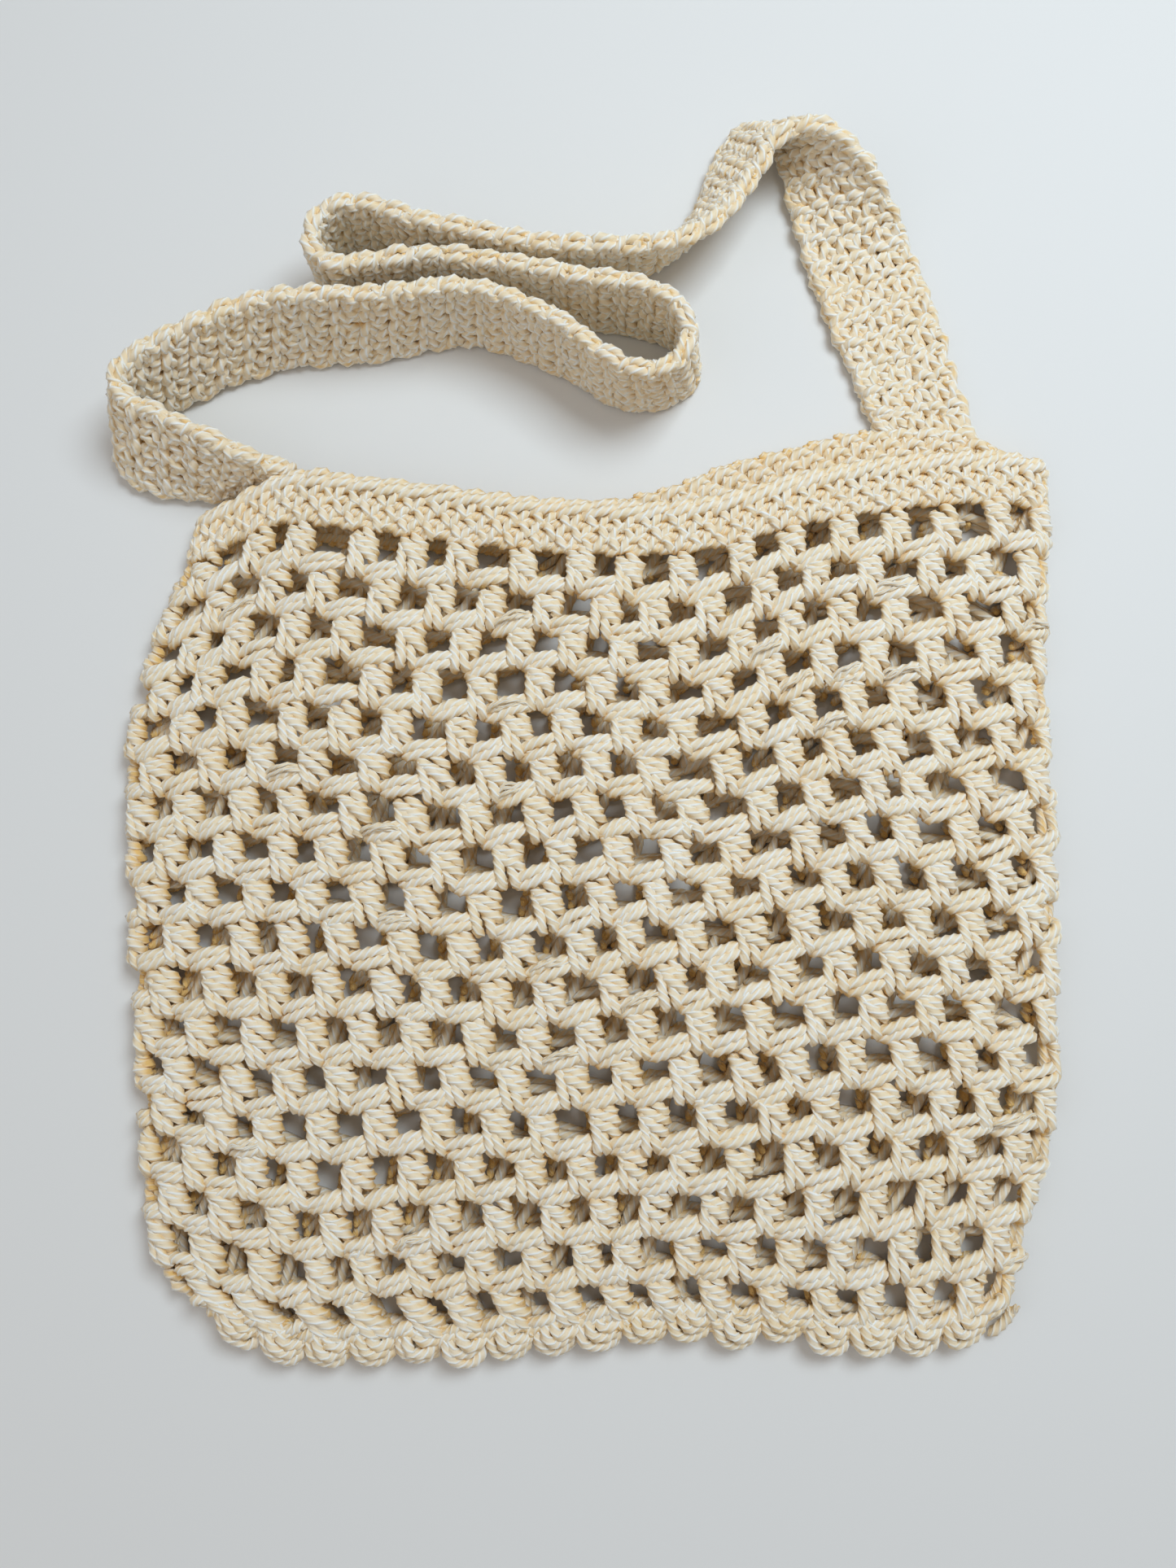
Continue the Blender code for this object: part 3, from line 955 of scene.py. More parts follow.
@dataclass(frozen=True)
class PlyEffect:
    """The shader group that gives yarn its plies, fibres and random patches, with a painted
    highlight on its ply ridges and painted shade in its creases.

    The shares named pale say how much each pattern lightens the yarn, and the painted
    shade's how much it takes that away; those named dark say how much each turns it to
    the colour of painted shade and patches.
    """

    plies: int = 4
    ply_ridge: float = 0.36
    half_ply_ridge: float = 0.14
    fibres_over: float = 30.0
    fibres_along: float = 4.0
    patch_scale: float = 55.0
    ridge_painted_highlight: float = 0.55
    pale_fibre: float = 0.5
    pale_tint: float = 0.35
    pale_painted_shade: float = 0.5
    dark_painted_shade: float = 1.5
    valley_painted_shade: float = 0.52
    dark_patch: float = 0.25
    roughness: float = 0.68
    rough_fibre: float = 0.2

    # The first colour carries the painted highlight, the third is the colour of painted shade and
    # patches, and the last input sets how strong they are
    inputs = (
        ("Lit", "NodeSocketColor"),
        ("Body", "NodeSocketColor"),
        ("Painted Shade And Patch Colour", "NodeSocketColor"),
        ("Ply Depth", "NodeSocketFloat"),
        ("Fibre Depth", "NodeSocketFloat"),
        ("Painted Shade And Patch Strength", "NodeSocketFloat"),
    )
    outputs = (
        ("Colour", "NodeSocketColor"),
        ("Height", "NodeSocketFloat"),
        ("Roughness", "NodeSocketFloat"),
    )

    def build(self) -> bpy.types.NodeTree:
        """Builds the group.

        The plies are a cosine of U plus V, as many to a turn as the yarn has, and each
        is two thinner ones. The fibres are noise drawn out along them. The ply ridges get a
        painted highlight. The valleys and the painted shade attribute's square turn the
        colour to that of painted shade, and a slow noise adds random patches of it.

        Returns:
            The node group.
        """
        tree = bpy.data.node_groups.new("plied yarn", "ShaderNodeTree")
        for name, kind in self.inputs:
            tree.interface.new_socket(name, in_out="INPUT", socket_type=kind)
        for name, kind in self.outputs:
            tree.interface.new_socket(name, in_out="OUTPUT", socket_type=kind)
        wire = Wiring(tree)
        given = wire.add("NodeGroupInput").outputs
        result = wire.add("NodeGroupOutput").inputs
        uv = wire.add("ShaderNodeUVMap", uv_map="ply").outputs[0]
        split = wire.add("ShaderNodeSeparateXYZ")
        wire.feed(split.inputs[0], uv)
        around, along = split.outputs[0], split.outputs[1]
        over = wire.sum("ADD", around, along)
        turn = 2 * self.plies * math.pi
        ply = wire.sum("COSINE", wire.sum("MULTIPLY", over, turn))
        half_ply = wire.sum("COSINE", wire.sum("MULTIPLY", over, 2 * turn))
        ridge = wire.sum("MULTIPLY_ADD", half_ply, self.half_ply_ridge, 0.5)
        ridge = wire.sum("MULTIPLY_ADD", ply, self.ply_ridge, ridge)
        drawn = wire.add("ShaderNodeCombineXYZ")
        wire.feed(drawn.inputs[0], wire.sum("MULTIPLY", over, self.fibres_over))
        wire.feed(drawn.inputs[1], wire.sum("MULTIPLY", along, self.fibres_along))
        fibre = wire.noise(drawn.outputs[0], 1.0, 2.0)
        place = wire.add("ShaderNodeTexCoord").outputs["Object"]
        patch = wire.noise(place, self.patch_scale, 3.0)
        painted_shade = wire.add("ShaderNodeAttribute", attribute_name="painted_shade").outputs["Fac"]
        tint = wire.add("ShaderNodeAttribute", attribute_name="tint").outputs["Fac"]
        # Lightness: the fibres and a random tint per strand, and on the ply ridges a painted
        # highlight
        pale = wire.sum("MULTIPLY", fibre, self.pale_fibre)
        pale = wire.sum("MULTIPLY_ADD", ridge, self.ridge_painted_highlight, pale)
        uneven = wire.sum("SUBTRACT", tint, 0.5)
        pale = wire.sum("MULTIPLY_ADD", uneven, self.pale_tint, pale)
        # Painted shade takes the lightness away, towards the body colour
        painted_shade_loss = wire.sum("MULTIPLY", painted_shade, self.pale_painted_shade)
        pale = wire.sum("SUBTRACT", pale, painted_shade_loss, clamp=True)
        colour = wire.blend(pale, given["Body"], given["Lit"])
        # Painted shade: the shade attribute's square and the ply valleys turn the colour to the
        # painted shade colour, and a slow noise adds random patches of it
        dark = wire.sum("MULTIPLY", wire.sum("MULTIPLY", painted_shade, painted_shade), self.dark_painted_shade)
        valley = wire.sum("SUBTRACT", 1.0, ridge)
        dark = wire.sum("MULTIPLY_ADD", valley, self.valley_painted_shade, dark)
        patchy = wire.sum("SUBTRACT", patch, 0.5)
        dark = wire.sum("MULTIPLY_ADD", patchy, self.dark_patch, dark)
        dark = wire.sum("MULTIPLY", dark, given["Painted Shade And Patch Strength"], clamp=True)
        wire.feed(result["Colour"], wire.blend(dark, colour, given["Painted Shade And Patch Colour"]))
        height = wire.sum("MULTIPLY", ridge, given["Ply Depth"])
        height = wire.sum("MULTIPLY_ADD", fibre, given["Fibre Depth"], height)
        wire.feed(result["Height"], height)
        rough = wire.sum("MULTIPLY_ADD", fibre, self.rough_fibre, self.roughness)
        wire.feed(result["Roughness"], rough)
        return tree


@dataclass(frozen=True)
class YarnFinish:
    """The yarn of one part of the bag: its colours, painted highlight and painted shade among
    them, how deep its plies are and its gloss.
    """

    name: str
    # Lit is the pale tone and the painted highlight of the ply ridges, body the yarn's own
    # colour, and the third the colour of painted shade and random patches
    lit: Colour = (0.92, 0.95, 0.96)
    body: Colour = (0.90, 0.83, 0.66)
    painted_shade_and_patch_colour: Colour = (0.88, 0.57, 0.21)
    ply_depth: float = 0.8
    fibre_depth: float = 0.45
    painted_shade_and_patch_strength: float = 1.0
    bump_distance: float = 0.35 * MILLI
    bump_strength: float = 0.8
    sheen: float = 0.18
    sheen_roughness: float = 0.45
    specular: float = 0.25

    def material(self, effect: bpy.types.NodeTree) -> bpy.types.Material:
        """The finish as a material that uses the shared yarn effect.

        Args:
            effect: The plied yarn group.

        Returns:
            The material.
        """
        made = bpy.data.materials.new(self.name)
        made.use_nodes = True
        wire = Wiring(made.node_tree)
        shader = made.node_tree.nodes["Principled BSDF"]
        group = wire.add("ShaderNodeGroup", node_tree=effect)
        settings = {
            "Lit": (*self.lit, 1.0),
            "Body": (*self.body, 1.0),
            "Painted Shade And Patch Colour": (*self.painted_shade_and_patch_colour, 1.0),
            "Ply Depth": self.ply_depth,
            "Fibre Depth": self.fibre_depth,
            "Painted Shade And Patch Strength": self.painted_shade_and_patch_strength,
        }
        for key, value in settings.items():
            group.inputs[key].default_value = value
        bump = wire.add("ShaderNodeBump")
        bump.inputs["Distance"].default_value = self.bump_distance
        bump.inputs["Strength"].default_value = self.bump_strength
        wire.feed(bump.inputs["Height"], group.outputs["Height"])
        wire.feed(shader.inputs["Normal"], bump.outputs[0])
        wire.feed(shader.inputs["Base Color"], group.outputs["Colour"])
        wire.feed(shader.inputs["Roughness"], group.outputs["Roughness"])
        shader.inputs["Sheen Weight"].default_value = self.sheen
        shader.inputs["Sheen Roughness"].default_value = self.sheen_roughness
        shader.inputs["Specular IOR Level"].default_value = self.specular
        return made


# One mesh cell: the post's two legs and the yarn wrapped round it, the bar beside it, a
# pulled ply on the bar, and the strands behind
POST_FRONT = (
    Strand(((-3.9, 11.2, -3.6), (-3.7, 9.2, -2.2), (-3.2, 6.8, -1.2), (-2.8, 3.6, -0.7),
            (-2.3, 0.9, -0.2), (-2.0, -0.8, -0.5), (-1.8, -1.7, -1.9), (-1.8, -1.0, -4.0))),
    Strand(((-1.7, 8.2, -3.4), (-1.2, 6.0, -2.2), (-0.5, 3.6, -1.2), (0.3, 1.2, -0.6),
            (1.0, -0.6, -0.6), (1.2, -1.6, -1.9), (1.2, -0.9, -4.0))),
    Strand(((-4.5, 10.8, -3.4), (-3.8, 10.1, -1.8), (-2.1, 9.0, -1.0), (0.1, 7.9, -0.9),
            (2.0, 6.9, -1.6), (3.0, 6.0, -3.0), (2.9, 5.0, -4.6)), 1.02),
    Strand(((-3.6, 8.2, -2.6), (-2.5, 7.2, -1.0), (-0.8, 5.9, -0.4), (1.2, 4.7, -0.5),
            (2.7, 3.6, -1.3), (3.4, 2.5, -3.0), (3.1, 2.0, -4.4)), 1.02),
    Strand(((-1.6, 12.8, -3.6), (-0.6, 11.7, -1.9), (0.8, 10.4, -1.5), (2.2, 9.2, -2.2),
            (2.9, 8.2, -3.8))),
)
BAR_FRONT = (
    Strand(((0.6, -0.6, -3.4), (2.8, -0.2, -1.6), (5.4, 0.7, -0.7), (8.0, 1.5, -0.5),
            (10.6, 2.1, -0.9), (12.8, 2.3, -1.9), (14.6, 2.0, -3.8)), 1.06),
    Strand(((1.8, -2.6, -3.6), (4.2, -2.3, -1.8), (6.6, -1.6, -0.8), (9.2, -0.8, -0.5),
            (11.8, 0.0, -0.8), (13.9, 0.6, -1.9), (15.6, 1.0, -3.8)), 1.06),
)
PULLED_PLY = Strand(((1.6, -1.2, -1.6), (4.2, 0.6, 0.6), (7.4, 1.2, 1.2), (10.4, 1.6, 0.6),
                     (13.2, 0.8, -1.6)), 0.40)
MESH_BEHIND = (
    Strand(((-0.6, -1.4, -4.3), (3.6, -0.8, -4.1), (8.0, 0.2, -4.0), (12.4, 0.5, -4.2),
            (16.4, -0.6, -4.4)), 1.1, True),
    Strand(((-4.0, 12.2, -4.5), (-3.2, 8.4, -4.1), (-1.4, 4.6, -4.0), (0.4, 0.6, -4.1),
            (1.6, -1.6, -4.3)), 1.1, True),
)

# One rim stitch: the two chain loops of the edge, the V and bar below, the bump inside
CHAIN_LOOPS = (
    Strand(((-5.0, -4.4, -2.8), (-2.9, -3.7, -1.4), (-0.2, -2.9, -0.9), (2.6, -2.0, -1.0),
            (5.0, -1.3, -1.9), (6.6, -0.6, -3.2)), 1.05),
    Strand(((-5.4, -1.4, -3.8), (-3.2, -0.9, -2.5), (-0.4, -0.3, -2.0), (2.6, 0.2, -2.1),
            (5.2, 0.4, -3.4))),
)
SOLID_STITCH = (
    Strand(((-3.2, 1.8, -2.8), (-2.3, 0.8, -1.5), (-1.3, -0.7, -1.1), (-0.5, -2.1, -1.8),
            (-0.1, -2.8, -3.2)), 0.92),
    Strand(((3.0, 1.9, -2.8), (2.1, 0.9, -1.5), (1.3, -0.6, -1.3), (0.6, -1.9, -1.9),
            (0.2, -2.7, -3.2)), 0.92),
    Strand(((-3.8, -3.0, -3.2), (-2.0, -2.4, -2.0), (0.6, -1.6, -1.8), (2.6, -1.2, -2.2),
            (3.9, -1.0, -3.3)), 0.86),
)
INNER_BUMP = (
    Strand(((-3.4, -1.6, -3.6), (-2.7, 0.2, -4.8), (-0.6, 1.3, -5.2), (1.6, 1.0, -5.0),
            (3.0, -0.3, -4.4), (3.5, -1.8, -3.6)), 1.08, True),
    Strand(((-1.4, 0.8, -4.0), (-0.8, -0.9, -4.7), (0.2, -2.4, -4.2)), 0.95, True),
)

# One strap stitch: the V of a right-side row, the bump of a wrong-side row, and the turn
# at the edge
STRAP_V = (
    Strand(((-3.3, 2.2, -1.4), (-2.4, 1.6, -0.1), (-1.3, 0.1, 0.3), (-0.6, -1.5, -0.2),
            (-0.2, -2.7, -1.5))),
    Strand(((2.5, 2.6, -1.3), (2.2, 1.3, 0.0), (1.4, -0.3, 0.1), (0.6, -1.8, -0.5),
            (0.3, -2.8, -1.6)), 0.98),
)
STRAP_BUMP = (
    Strand(((-3.2, -1.6, -1.5), (-2.3, -0.1, -0.1), (-0.5, 1.0, 0.4), (1.4, 0.9, 0.1),
            (2.8, -0.2, -1.3)), 1.06),
    Strand(((-2.4, 0.2, -1.5), (-1.0, -1.2, -0.1), (0.9, -1.9, -0.1), (2.6, -1.6, -1.4)), 0.98),
)
STRAP_EDGE = (
    Strand(((-2.2, -3.9, 0.9), (-0.6, -2.9, 1.4), (0.5, -0.8, 1.3), (0.4, 1.4, 1.0),
            (-0.7, 3.2, 0.6), (-2.0, 4.2, 0.0))),
    Strand(((-2.0, -4.2, -0.2), (-0.7, -3.0, -1.0), (0.3, -1.0, -1.3), (0.5, 1.2, -1.4),
            (-0.5, 3.0, -1.2), (-2.2, 4.0, -0.8))),
    Strand(((-2.8, 0.9, 1.9), (-0.8, 2.6, 1.5), (0.1, 4.2, 0.0), (-0.8, 5.8, -1.5),
            (-2.8, 6.6, -1.9)), 0.94),
)

# One seam loop: nested turns of yarn round the bottom edge
SEAM_LOOP = (
    Strand(((-6.0, 7.4, 3.2), (-5.8, 4.2, 4.2), (-5.0, 1.0, 4.0), (-3.0, -1.2, 3.0),
            (-0.2, -2.0, 2.4), (2.6, -1.4, 2.2), (4.8, 0.6, 2.2), (5.6, 2.8, 1.4))),
    Strand(((-3.8, 8.0, 4.0), (-3.6, 5.2, 5.0), (-2.8, 2.4, 5.2), (-0.8, 0.8, 4.6),
            (1.8, 0.8, 4.0), (4.2, 2.2, 3.4), (6.0, 4.2, 2.4))),
    Strand(((-1.2, 8.4, 3.8), (-1.0, 6.0, 5.2), (0.2, 3.8, 5.4), (2.4, 3.0, 4.8),
            (5.0, 3.8, 4.0), (7.4, 5.4, 3.0))),
    Strand(((-5.4, 2.2, 1.0), (-4.2, -0.8, 1.0), (-1.6, -2.1, 0.6), (1.6, -2.0, 0.2),
            (4.2, -0.4, 0.4), (5.2, 1.8, 0.8))),
    Strand(((-9.0, 3.2, 2.2), (-7.4, 4.4, 3.8), (-4.6, 5.6, 4.8), (-1.6, 6.0, 5.0),
            (1.4, 6.4, 4.6), (4.2, 6.6, 4.2), (6.4, 6.0, 3.0))),
)


class Layer(Enum):
    """Which layer of the flattened bag a piece of mesh belongs to."""

    FRONT = "front"
    BACK = "back"


@dataclass
class MeshPanels:
    """The bag's open mesh: bricks of posts and bars, in pieces by rows.

    A row's height is in millimetres, and the shift and the jitter in cells and rows.
    """

    skin: BagSkin
    material: bpy.types.Material
    fine: Gauge = Gauge(radius=1.56 * MILLI)
    coarse: Gauge = Gauge(step=2.8 * MILLI, sides=5, groove=0.0)
    splits: tuple[int, ...] = (0, 6, 12, 18)
    row_height: float = 13.05
    shift: float = 0.40
    jitter: tuple[float, float] = (0.06, 0.045)
    pulled_share: float = 0.07
    pulled_plies: int = 3
    pulled_loose: float = 2.6

    def origins(self, layer: Layer, rows: range) -> Array:
        """Where the posts' feet stand: part of a cell further over in each row up.

        Args:
            layer: Front or back.
            rows: The mesh rows.

        Returns:
            The place around and the height in rows of each post.
        """
        half = CELLS_AROUND // 2
        first = 0 if layer is Layer.FRONT else half
        row, cell = np.meshgrid(np.array(rows), np.arange(half), indexing="ij")
        around = first + cell + np.mod(self.shift * row, 1.0)
        return np.stack([around.ravel(), row.ravel().astype(float)], axis=-1)

    def build(self) -> list[bpy.types.Object]:
        """Makes the front in three pieces and the back in one.

        Returns:
            The pieces.
        """
        made = []
        for low, high in zip(self.splits[:-1], self.splits[1:]):
            label = f"front_mesh_{low + 1}_to_{high}"
            made.append(self.panel(label, Layer.FRONT, range(low, high), self.fine))
        made.append(self.panel("back_mesh", Layer.BACK, range(MESH_ROWS), self.coarse))
        return made

    def panel(self, label: str, layer: Layer, rows: range, gauge: Gauge) -> bpy.types.Object:
        """One piece of mesh.

        Args:
            label: The piece's name.
            layer: Front or back.
            rows: The mesh rows in it.
            gauge: How finely its yarn is drawn.

        Returns:
            The piece.
        """
        skein = Skein(gauge, seed=100 + rows.start + 7 * (layer is Layer.BACK))
        origins = self.origins(layer, rows)
        origins = origins + skein.draw.normal(0.0, 1.0, origins.shape) * self.jitter
        scale = (1.0 / (self.skin.pitch / MILLI), 1.0 / self.row_height)
        strands = POST_FRONT + BAR_FRONT + (MESH_BEHIND if layer is Layer.BACK else ())
        for strand in strands:
            skein.lay(self.skin.mesh, strand, origins, scale)
        if layer is Layer.FRONT:
            pulled = origins[skein.draw.random(len(origins)) < self.pulled_share]
            for _ in range(self.pulled_plies):
                skein.lay(self.skin.mesh, PULLED_PLY, pulled, scale, self.pulled_loose)
        return skein.piece(label, self.material, "mesh_body")


@dataclass
class RimBand:
    """The solid rim: a chain along the mouth and three rounds of close stitches.

    Heights are in millimetres from the mouth's edge. Plain yarns run inside the band.
    """

    skin: BagSkin
    material: bpy.types.Material
    gauge: Gauge = Gauge(radius=1.5 * MILLI, step=1.4 * MILLI, sides=6)
    stitches: int = 2 * CELLS_AROUND
    rounds: tuple[float, ...] = (-5.4, -8.9, -12.4)
    bump_rise: float = 2.0
    loose: float = 0.8
    cores: tuple[float, ...] = (-3.4, -7.0, -10.6, -13.4)
    core_out: float = -3.1 * MILLI
    core_thick: float = 1.25
    core_rings: int = 6

    def build(self) -> list[bpy.types.Object]:
        """Makes the front half and the back half of the rim.

        Returns:
            The two pieces.
        """
        made = []
        half = self.stitches // 2
        for label, first in (("front_rim", 0), ("back_rim", half)):
            skein = Skein(self.gauge, seed=500 + first)
            pitch = CELLS_AROUND / self.stitches
            around = (first + np.arange(half)) * pitch
            scale = (MILLI / self.skin.pitch, 1.0)
            self.round(skein, CHAIN_LOOPS, around, 0.0, scale)
            for turn, down in enumerate(self.rounds):
                placed = around + pitch * 0.5 * (turn % 2)
                self.round(skein, SOLID_STITCH, placed, down, scale)
                self.round(skein, INNER_BUMP, placed, down + self.bump_rise, scale)
            core = np.linspace(first, first + half, self.core_rings * half) * pitch
            for down in self.cores:
                skein.run(self.skin.rim, core, np.full(core.shape, down),
                          self.core_out, self.core_thick)
            made.append(skein.piece(label, self.material, "rim_band"))
        return made

    def round(
        self,
        skein: Skein,
        strands: tuple[Strand, ...],
        around: Array,
        down: float,
        scale: tuple[float, float],
    ) -> None:
        """Lays one round of stitches.

        Args:
            skein: The yarn so far.
            strands: One stitch's lengths of yarn.
            around: Places around in cells, one for each stitch.
            down: Height from the mouth's edge in millimetres.
            scale: Cloth units to one millimetre, across and along.
        """
        origins = np.stack([around, np.full(len(around), down)], axis=-1)
        for strand in strands:
            skein.lay(self.skin.rim, strand, origins, scale, self.loose)


@dataclass
class Strap:
    """The solid strap: rows worked back and forth, both faces, with turned edges.

    Its sizes are in millimetres, the spread and the cores' reach are shares of half its
    width, and the sink is a share of the yarn's radius. Plain yarns run along its middle.
    """

    ribbon: StrapRibbon
    material: bpy.types.Material
    gauge: Gauge = Gauge(radius=1.5 * MILLI, step=1.5 * MILLI, sides=6)
    row: float = 4.6
    stitches: int = 5
    stitch_width: float = 6.0
    spread: float = 0.93
    sway: float = 0.12
    sink: float = 0.9
    loose: float = 1.1
    lead: float = 3.0
    lap: float = 8.0
    cores: int = 7
    core_reach: float = 0.78
    core_thick: float = 1.25
    edge_inset: float = 0.9

    def build(self) -> list[bpy.types.Object]:
        """Makes the strap in two lengths.

        Returns:
            The two pieces.
        """
        rows = round((self.ribbon.length / MILLI + self.lead + self.lap) / self.row)
        middle = rows // 2
        return [self.length_of("strap_right_length", range(middle)),
                self.length_of("strap_left_length", range(middle, rows))]

    def length_of(self, label: str, rows: range) -> bpy.types.Object:
        """One length of strap.

        Args:
            label: The piece's name.
            rows: The worked rows in it.

        Returns:
            The piece.
        """
        skein = Skein(self.gauge, seed=700 + rows.start)
        row, stitch = np.meshgrid(np.array(rows), np.arange(self.stitches), indexing="ij")
        row, stitch = row.ravel(), stitch.ravel()
        half = STRAP_WIDTH / 2 / MILLI
        pitch = 2 * half / self.stitches
        across = (stitch + 0.5) / self.stitches * 2.0 - 1.0
        across = across + self.sway * np.where(row % 2, 1, -1) / half
        along = (row * self.row - self.lead) * MILLI
        scale = (1.0 / half * pitch / self.stitch_width, MILLI)
        lift = STRAP_THICKNESS / 2 - self.gauge.radius * self.sink
        for face in (1.0, -1.0):
            worked = (row % 2 == 0) == (face > 0)
            for strands, here in ((STRAP_V, worked), (STRAP_BUMP, ~worked)):
                origins = np.stack([across[here] * self.spread, along[here]], axis=-1)
                for strand in strands:
                    skein.lay(self.ribbon.cloth, strand, origins, scale,
                              self.loose, lift, flip=face, face=face)
        core = (np.linspace(rows.start - 0.5, rows.stop - 0.5, 2 * len(rows)) * self.row
                - self.lead) * MILLI
        for place in np.linspace(-self.core_reach, self.core_reach, self.cores):
            line = np.full(core.shape, place)
            skein.run(self.ribbon.cloth, line, core, 0.0, self.core_thick)
        pairs = np.arange(rows.start + rows.start % 2, rows.stop, 2)
        for side in (1.0, -1.0):
            edge = np.full(len(pairs), side * (1.0 - self.edge_inset / half))
            middle = (pairs * self.row + (0 if side > 0 else self.row) - self.lead) * MILLI
            origins = np.stack([edge, middle], axis=-1)
            for strand in STRAP_EDGE:
                skein.lay(self.ribbon.cloth, strand, origins, (1.0 / half, MILLI), flip=side)
        return skein.piece(label, self.material, "strap")


@dataclass
class Seam:
    """The knobby seam: loops of yarn round the bottom edge, a little uneven in height."""

    skin: BagSkin
    material: bpy.types.Material
    gauge: Gauge = Gauge()
    loops: int = 17
    rise: float = 0.4
    uneven: float = 0.8
    upward: float = 0.0004

    def cloth(self, across: Array, up: Array, out: Array) -> tuple[Array, Array]:
        """The seam's line, with up and out measured from its middle.

        The direction leans a little upwards, so that it is never nothing.

        Args:
            across: Place across the bag, -1 to 1.
            up: Height above the seam's middle line in millimetres.
            out: Distance above it in metres.

        Returns:
            Points, and the direction away from the middle line.
        """
        centre, half = self.skin.sides(np.zeros_like(across))
        x = centre + across * (half - self.skin.fold)
        y = self.skin.seam_line(np.clip(across, -1, 1)) + up * MILLI
        away = np.stack([x * 0.0, up * MILLI, out], axis=-1)
        z = SEAM_RADIUS + out
        return np.stack([x, y, z], axis=-1), unit(away + (0.0, 0.0, self.upward))

    def build(self) -> bpy.types.Object:
        """Lays the loops on the front and, mirrored, on the underside.

        Returns:
            The piece.
        """
        skein = Skein(self.gauge, seed=900)
        middle = (np.arange(self.loops) + 0.5) / self.loops * 2.0 - 1.0
        width = 2.0 * float(self.skin.sides(np.zeros(1))[1][0]) / MILLI
        up = skein.draw.normal(self.rise, self.uneven, self.loops)
        origins = np.stack([middle, up], axis=-1)
        for face in (1.0, -1.0):
            for strand in SEAM_LOOP:
                skein.lay(self.cloth, strand, origins, (2.0 / width, 1.0), face=face)
        return skein.piece("seam_loops", self.material, "bottom_seam")


@dataclass
class YarnTail:
    """The trimmed yarn end by the seam, in shares of its length, and its frayed plies."""

    skin: BagSkin
    material: bpy.types.Material
    gauge: Gauge = Gauge(radius=1.5 * MILLI)
    rings: int = 9
    outwards: float = 0.55
    starts_below: float = 0.2
    onwards: float = 0.8
    rises: float = 0.35
    plies: int = 5
    ply_rings: int = 8
    ply_thick: float = 0.4
    frays_between: tuple[float, float] = (0.45, 1.12)
    parts_at: float = 0.3
    spread: float = 2.2 * MILLI

    def build(self) -> bpy.types.Object:
        """Makes the end: a quarter turn outwards that rises as it goes.

        Returns:
            The piece.
        """
        centre, half = self.skin.sides(np.zeros(1))
        start = float(centre[0] + half[0]) - self.skin.fold + CLEARANCE + YARN_RADIUS
        low = float(self.skin.seam_line(np.ones(1))[0])
        share = np.linspace(0.0, 1.0, self.rings)
        x = start + TAIL_LENGTH * self.outwards * np.sin(share * math.pi / 2)
        y = low - TAIL_LENGTH * self.starts_below + TAIL_LENGTH * self.onwards * share
        z = YARN_RADIUS + TAIL_LENGTH * self.rises * share
        skein = Skein(self.gauge, seed=950)
        line = np.stack([x, y, z], axis=-1)[None]
        upward = np.broadcast_to([0.0, 0.0, 1.0], line.shape)
        skein.wind(line, upward, 1.0, np.zeros(line.shape[:2]), self.gauge)
        self.fray(skein, line[0])
        return skein.piece("yarn_end", self.material, "yarn_tail")

    def fray(self, skein: Skein, line: Array) -> None:
        """Spreads thin plies out of the yarn's far end, past it by part of its length.

        Args:
            skein: The yarn so far.
            line: The yarn's middle line.
        """
        share = np.linspace(*self.frays_between, self.ply_rings)
        steps = self.rings - 1
        columns = [np.interp(share * steps, np.arange(self.rings), part) for part in line.T]
        beyond = np.clip(share - 1.0, 0.0, None)[:, None]
        stem = np.stack(columns, axis=-1) + (line[-1] - line[-2]) * steps * beyond
        spread = self.spread * np.clip(share - self.parts_at, 0.0, None) ** 1.5
        for turn in np.arange(self.plies) * 2 * math.pi / self.plies:
            aside = np.stack([np.cos(turn) * spread, np.sin(turn) * spread * 0.4,
                              np.sin(turn + 0.6) * spread], axis=-1)
            ply = (stem + aside)[None]
            upward = np.broadcast_to([0.0, 0.0, 1.0], ply.shape)
            skein.wind(ply, upward, self.ply_thick, np.zeros(ply.shape[:2]), self.gauge)


@dataclass(frozen=True)
class SoftLight:
    """A square soft light: its side in metres and its power in watts."""

    name: str
    place: Place
    size: float
    power: float
    colour: Colour


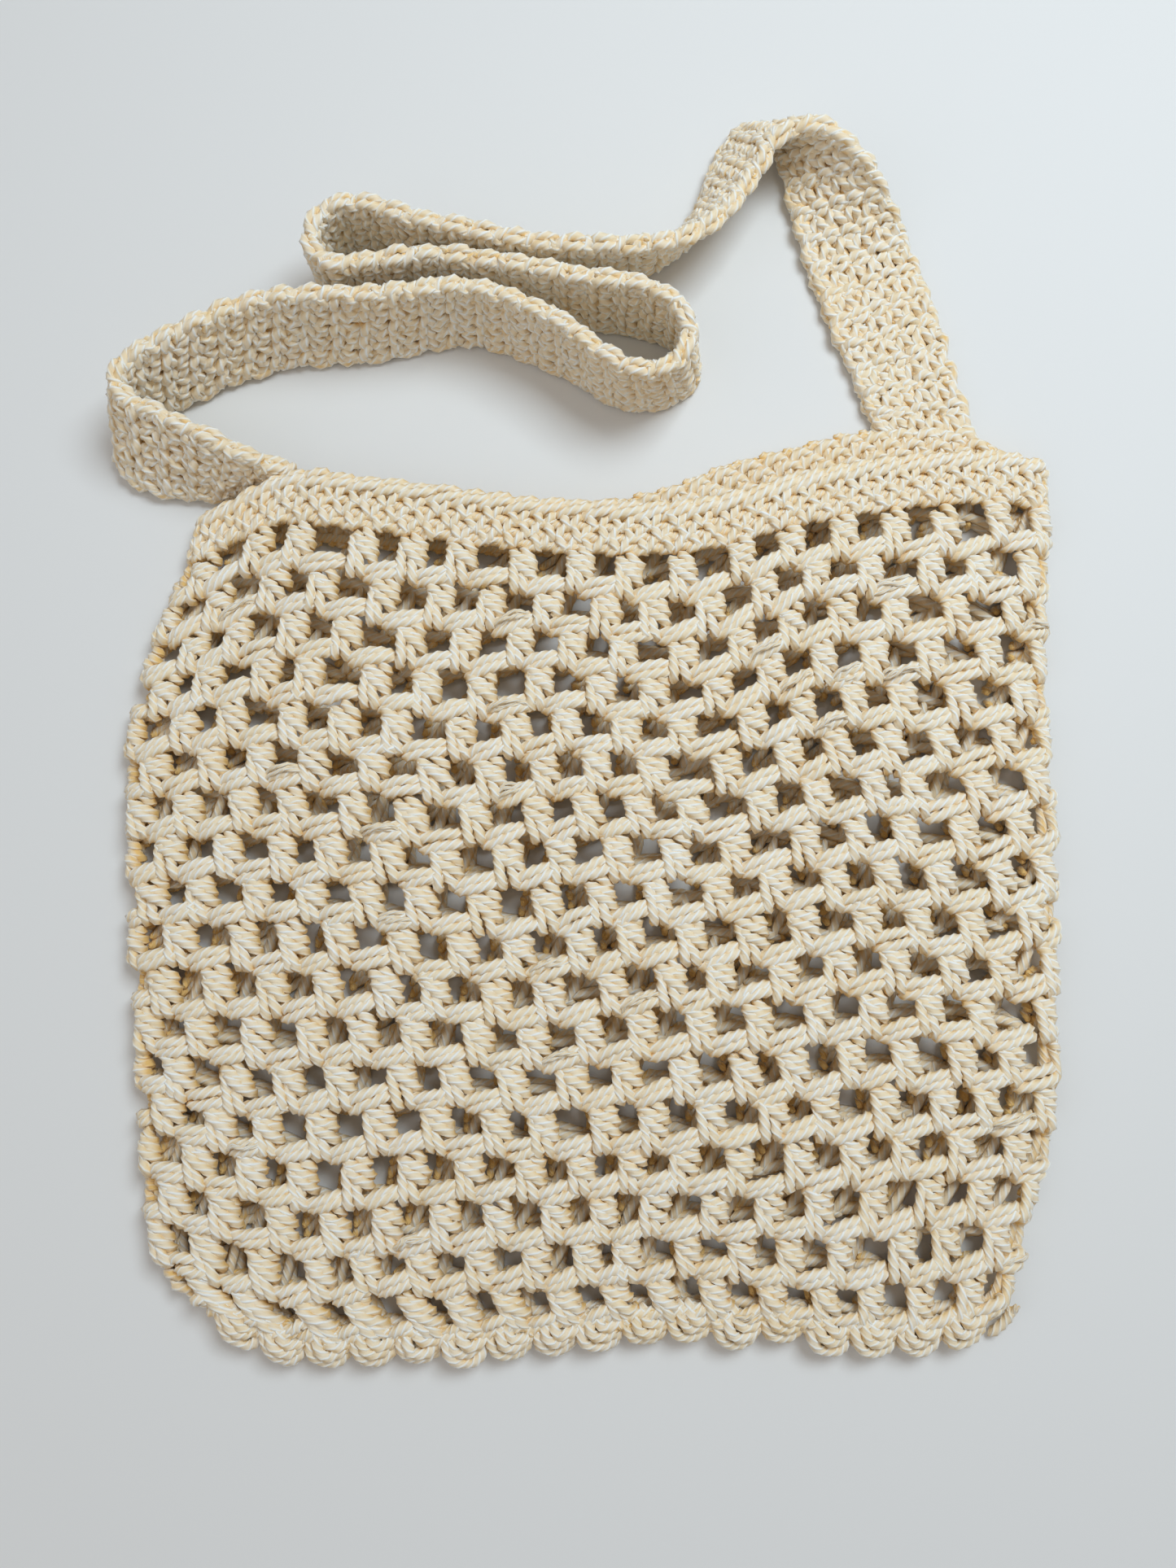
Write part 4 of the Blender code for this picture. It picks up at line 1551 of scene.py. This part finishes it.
@dataclass
class Studio:
    """The pale floor, the soft light and the camera."""

    window: SoftLight = SoftLight(
        "window light", (0.32, 0.40, 0.80), 0.42, 5.8, (0.80, 0.92, 1.0)
    )
    fill: SoftLight = SoftLight(
        "fill light", (-0.65, -0.30, 0.80), 1.0, 1.5, (0.97, 0.98, 1.0)
    )
    room_colour: Colour = (1.0, 0.97, 0.93)
    room_strength: float = 0.34
    floor_colour: Colour = (0.78, 0.77, 0.76)
    floor_roughness: float = 0.9
    floor_reach: float = 6.0
    camera_place: Place = (-0.0018, -0.0144, 0.3585)
    camera_tilt: float = 8.0
    lens: float = 27.0
    aims_at: Place = (0.0, 0.05, 0.0)

    def build(self) -> None:
        """Sets up everything round the bag."""
        self.floor()
        self.light(self.window)
        self.light(self.fill)
        world = bpy.data.worlds.new("soft room")
        world.use_nodes = True
        ground = world.node_tree.nodes["Background"]
        ground.inputs["Color"].default_value = (*self.room_colour, 1.0)
        ground.inputs["Strength"].default_value = self.room_strength
        bpy.context.scene.world = world
        data = bpy.data.cameras.new("camera")
        data.lens = self.lens
        data.sensor_width = 36.0
        data.sensor_fit = "AUTO"
        data.clip_start = 0.01
        camera = bpy.data.objects.new("camera", data)
        camera.location = self.camera_place
        camera.rotation_euler = (math.radians(self.camera_tilt), 0.0, 0.0)
        bpy.context.scene.collection.objects.link(camera)
        bpy.context.scene.camera = camera
        bpy.context.scene.view_settings.view_transform = "Standard"

    def floor(self) -> None:
        """A pale matt floor under the bag."""
        reach = self.floor_reach
        mesh = bpy.data.meshes.new("floor")
        corners = [(-reach, -reach, 0), (reach, -reach, 0), (reach, reach, 0), (-reach, reach, 0)]
        mesh.from_pydata(corners, [], [(0, 1, 2, 3)])
        made = bpy.data.materials.new("pale floor")
        made.use_nodes = True
        shader = made.node_tree.nodes["Principled BSDF"]
        shader.inputs["Base Color"].default_value = (*self.floor_colour, 1.0)
        shader.inputs["Roughness"].default_value = self.floor_roughness
        mesh.materials.append(made)
        sheet = bpy.data.objects.new("floor", mesh)
        bpy.context.scene.collection.objects.link(sheet)

    def light(self, soft: SoftLight) -> None:
        """Puts up a soft light that is aimed at the bag.

        Args:
            soft: The light's place, size, power and colour.
        """
        data = bpy.data.lights.new(soft.name, "AREA")
        data.size = soft.size
        data.energy = soft.power
        data.color = soft.colour
        lamp = bpy.data.objects.new(soft.name, data)
        lamp.location = soft.place
        towards = np.array(soft.place) - self.aims_at
        flat = math.hypot(towards[0], towards[1])
        turn = math.atan2(towards[1], towards[0]) + math.pi / 2
        lamp.rotation_euler = (math.atan2(flat, towards[2]), 0.0, turn)
        bpy.context.scene.collection.objects.link(lamp)


def main() -> None:
    """Builds the studio and dresses each part of the bag, in order."""
    logging.basicConfig(level=logging.INFO, format="%(name)s %(message)s")
    Studio().build()
    effect = PlyEffect().build()
    skin = BagSkin()
    ribbon = StrapRibbon(skin)
    log.info("strap length %.3f m", ribbon.length)
    MeshPanels(skin, YarnFinish("mesh yarn").material(effect)).build()
    RimBand(skin, YarnFinish("rim yarn").material(effect)).build()
    Strap(ribbon, YarnFinish("strap yarn").material(effect)).build()
    Seam(skin, YarnFinish("seam yarn").material(effect)).build()
    YarnTail(skin, YarnFinish("loose yarn").material(effect)).build()


if __name__ == "__main__":
    main()
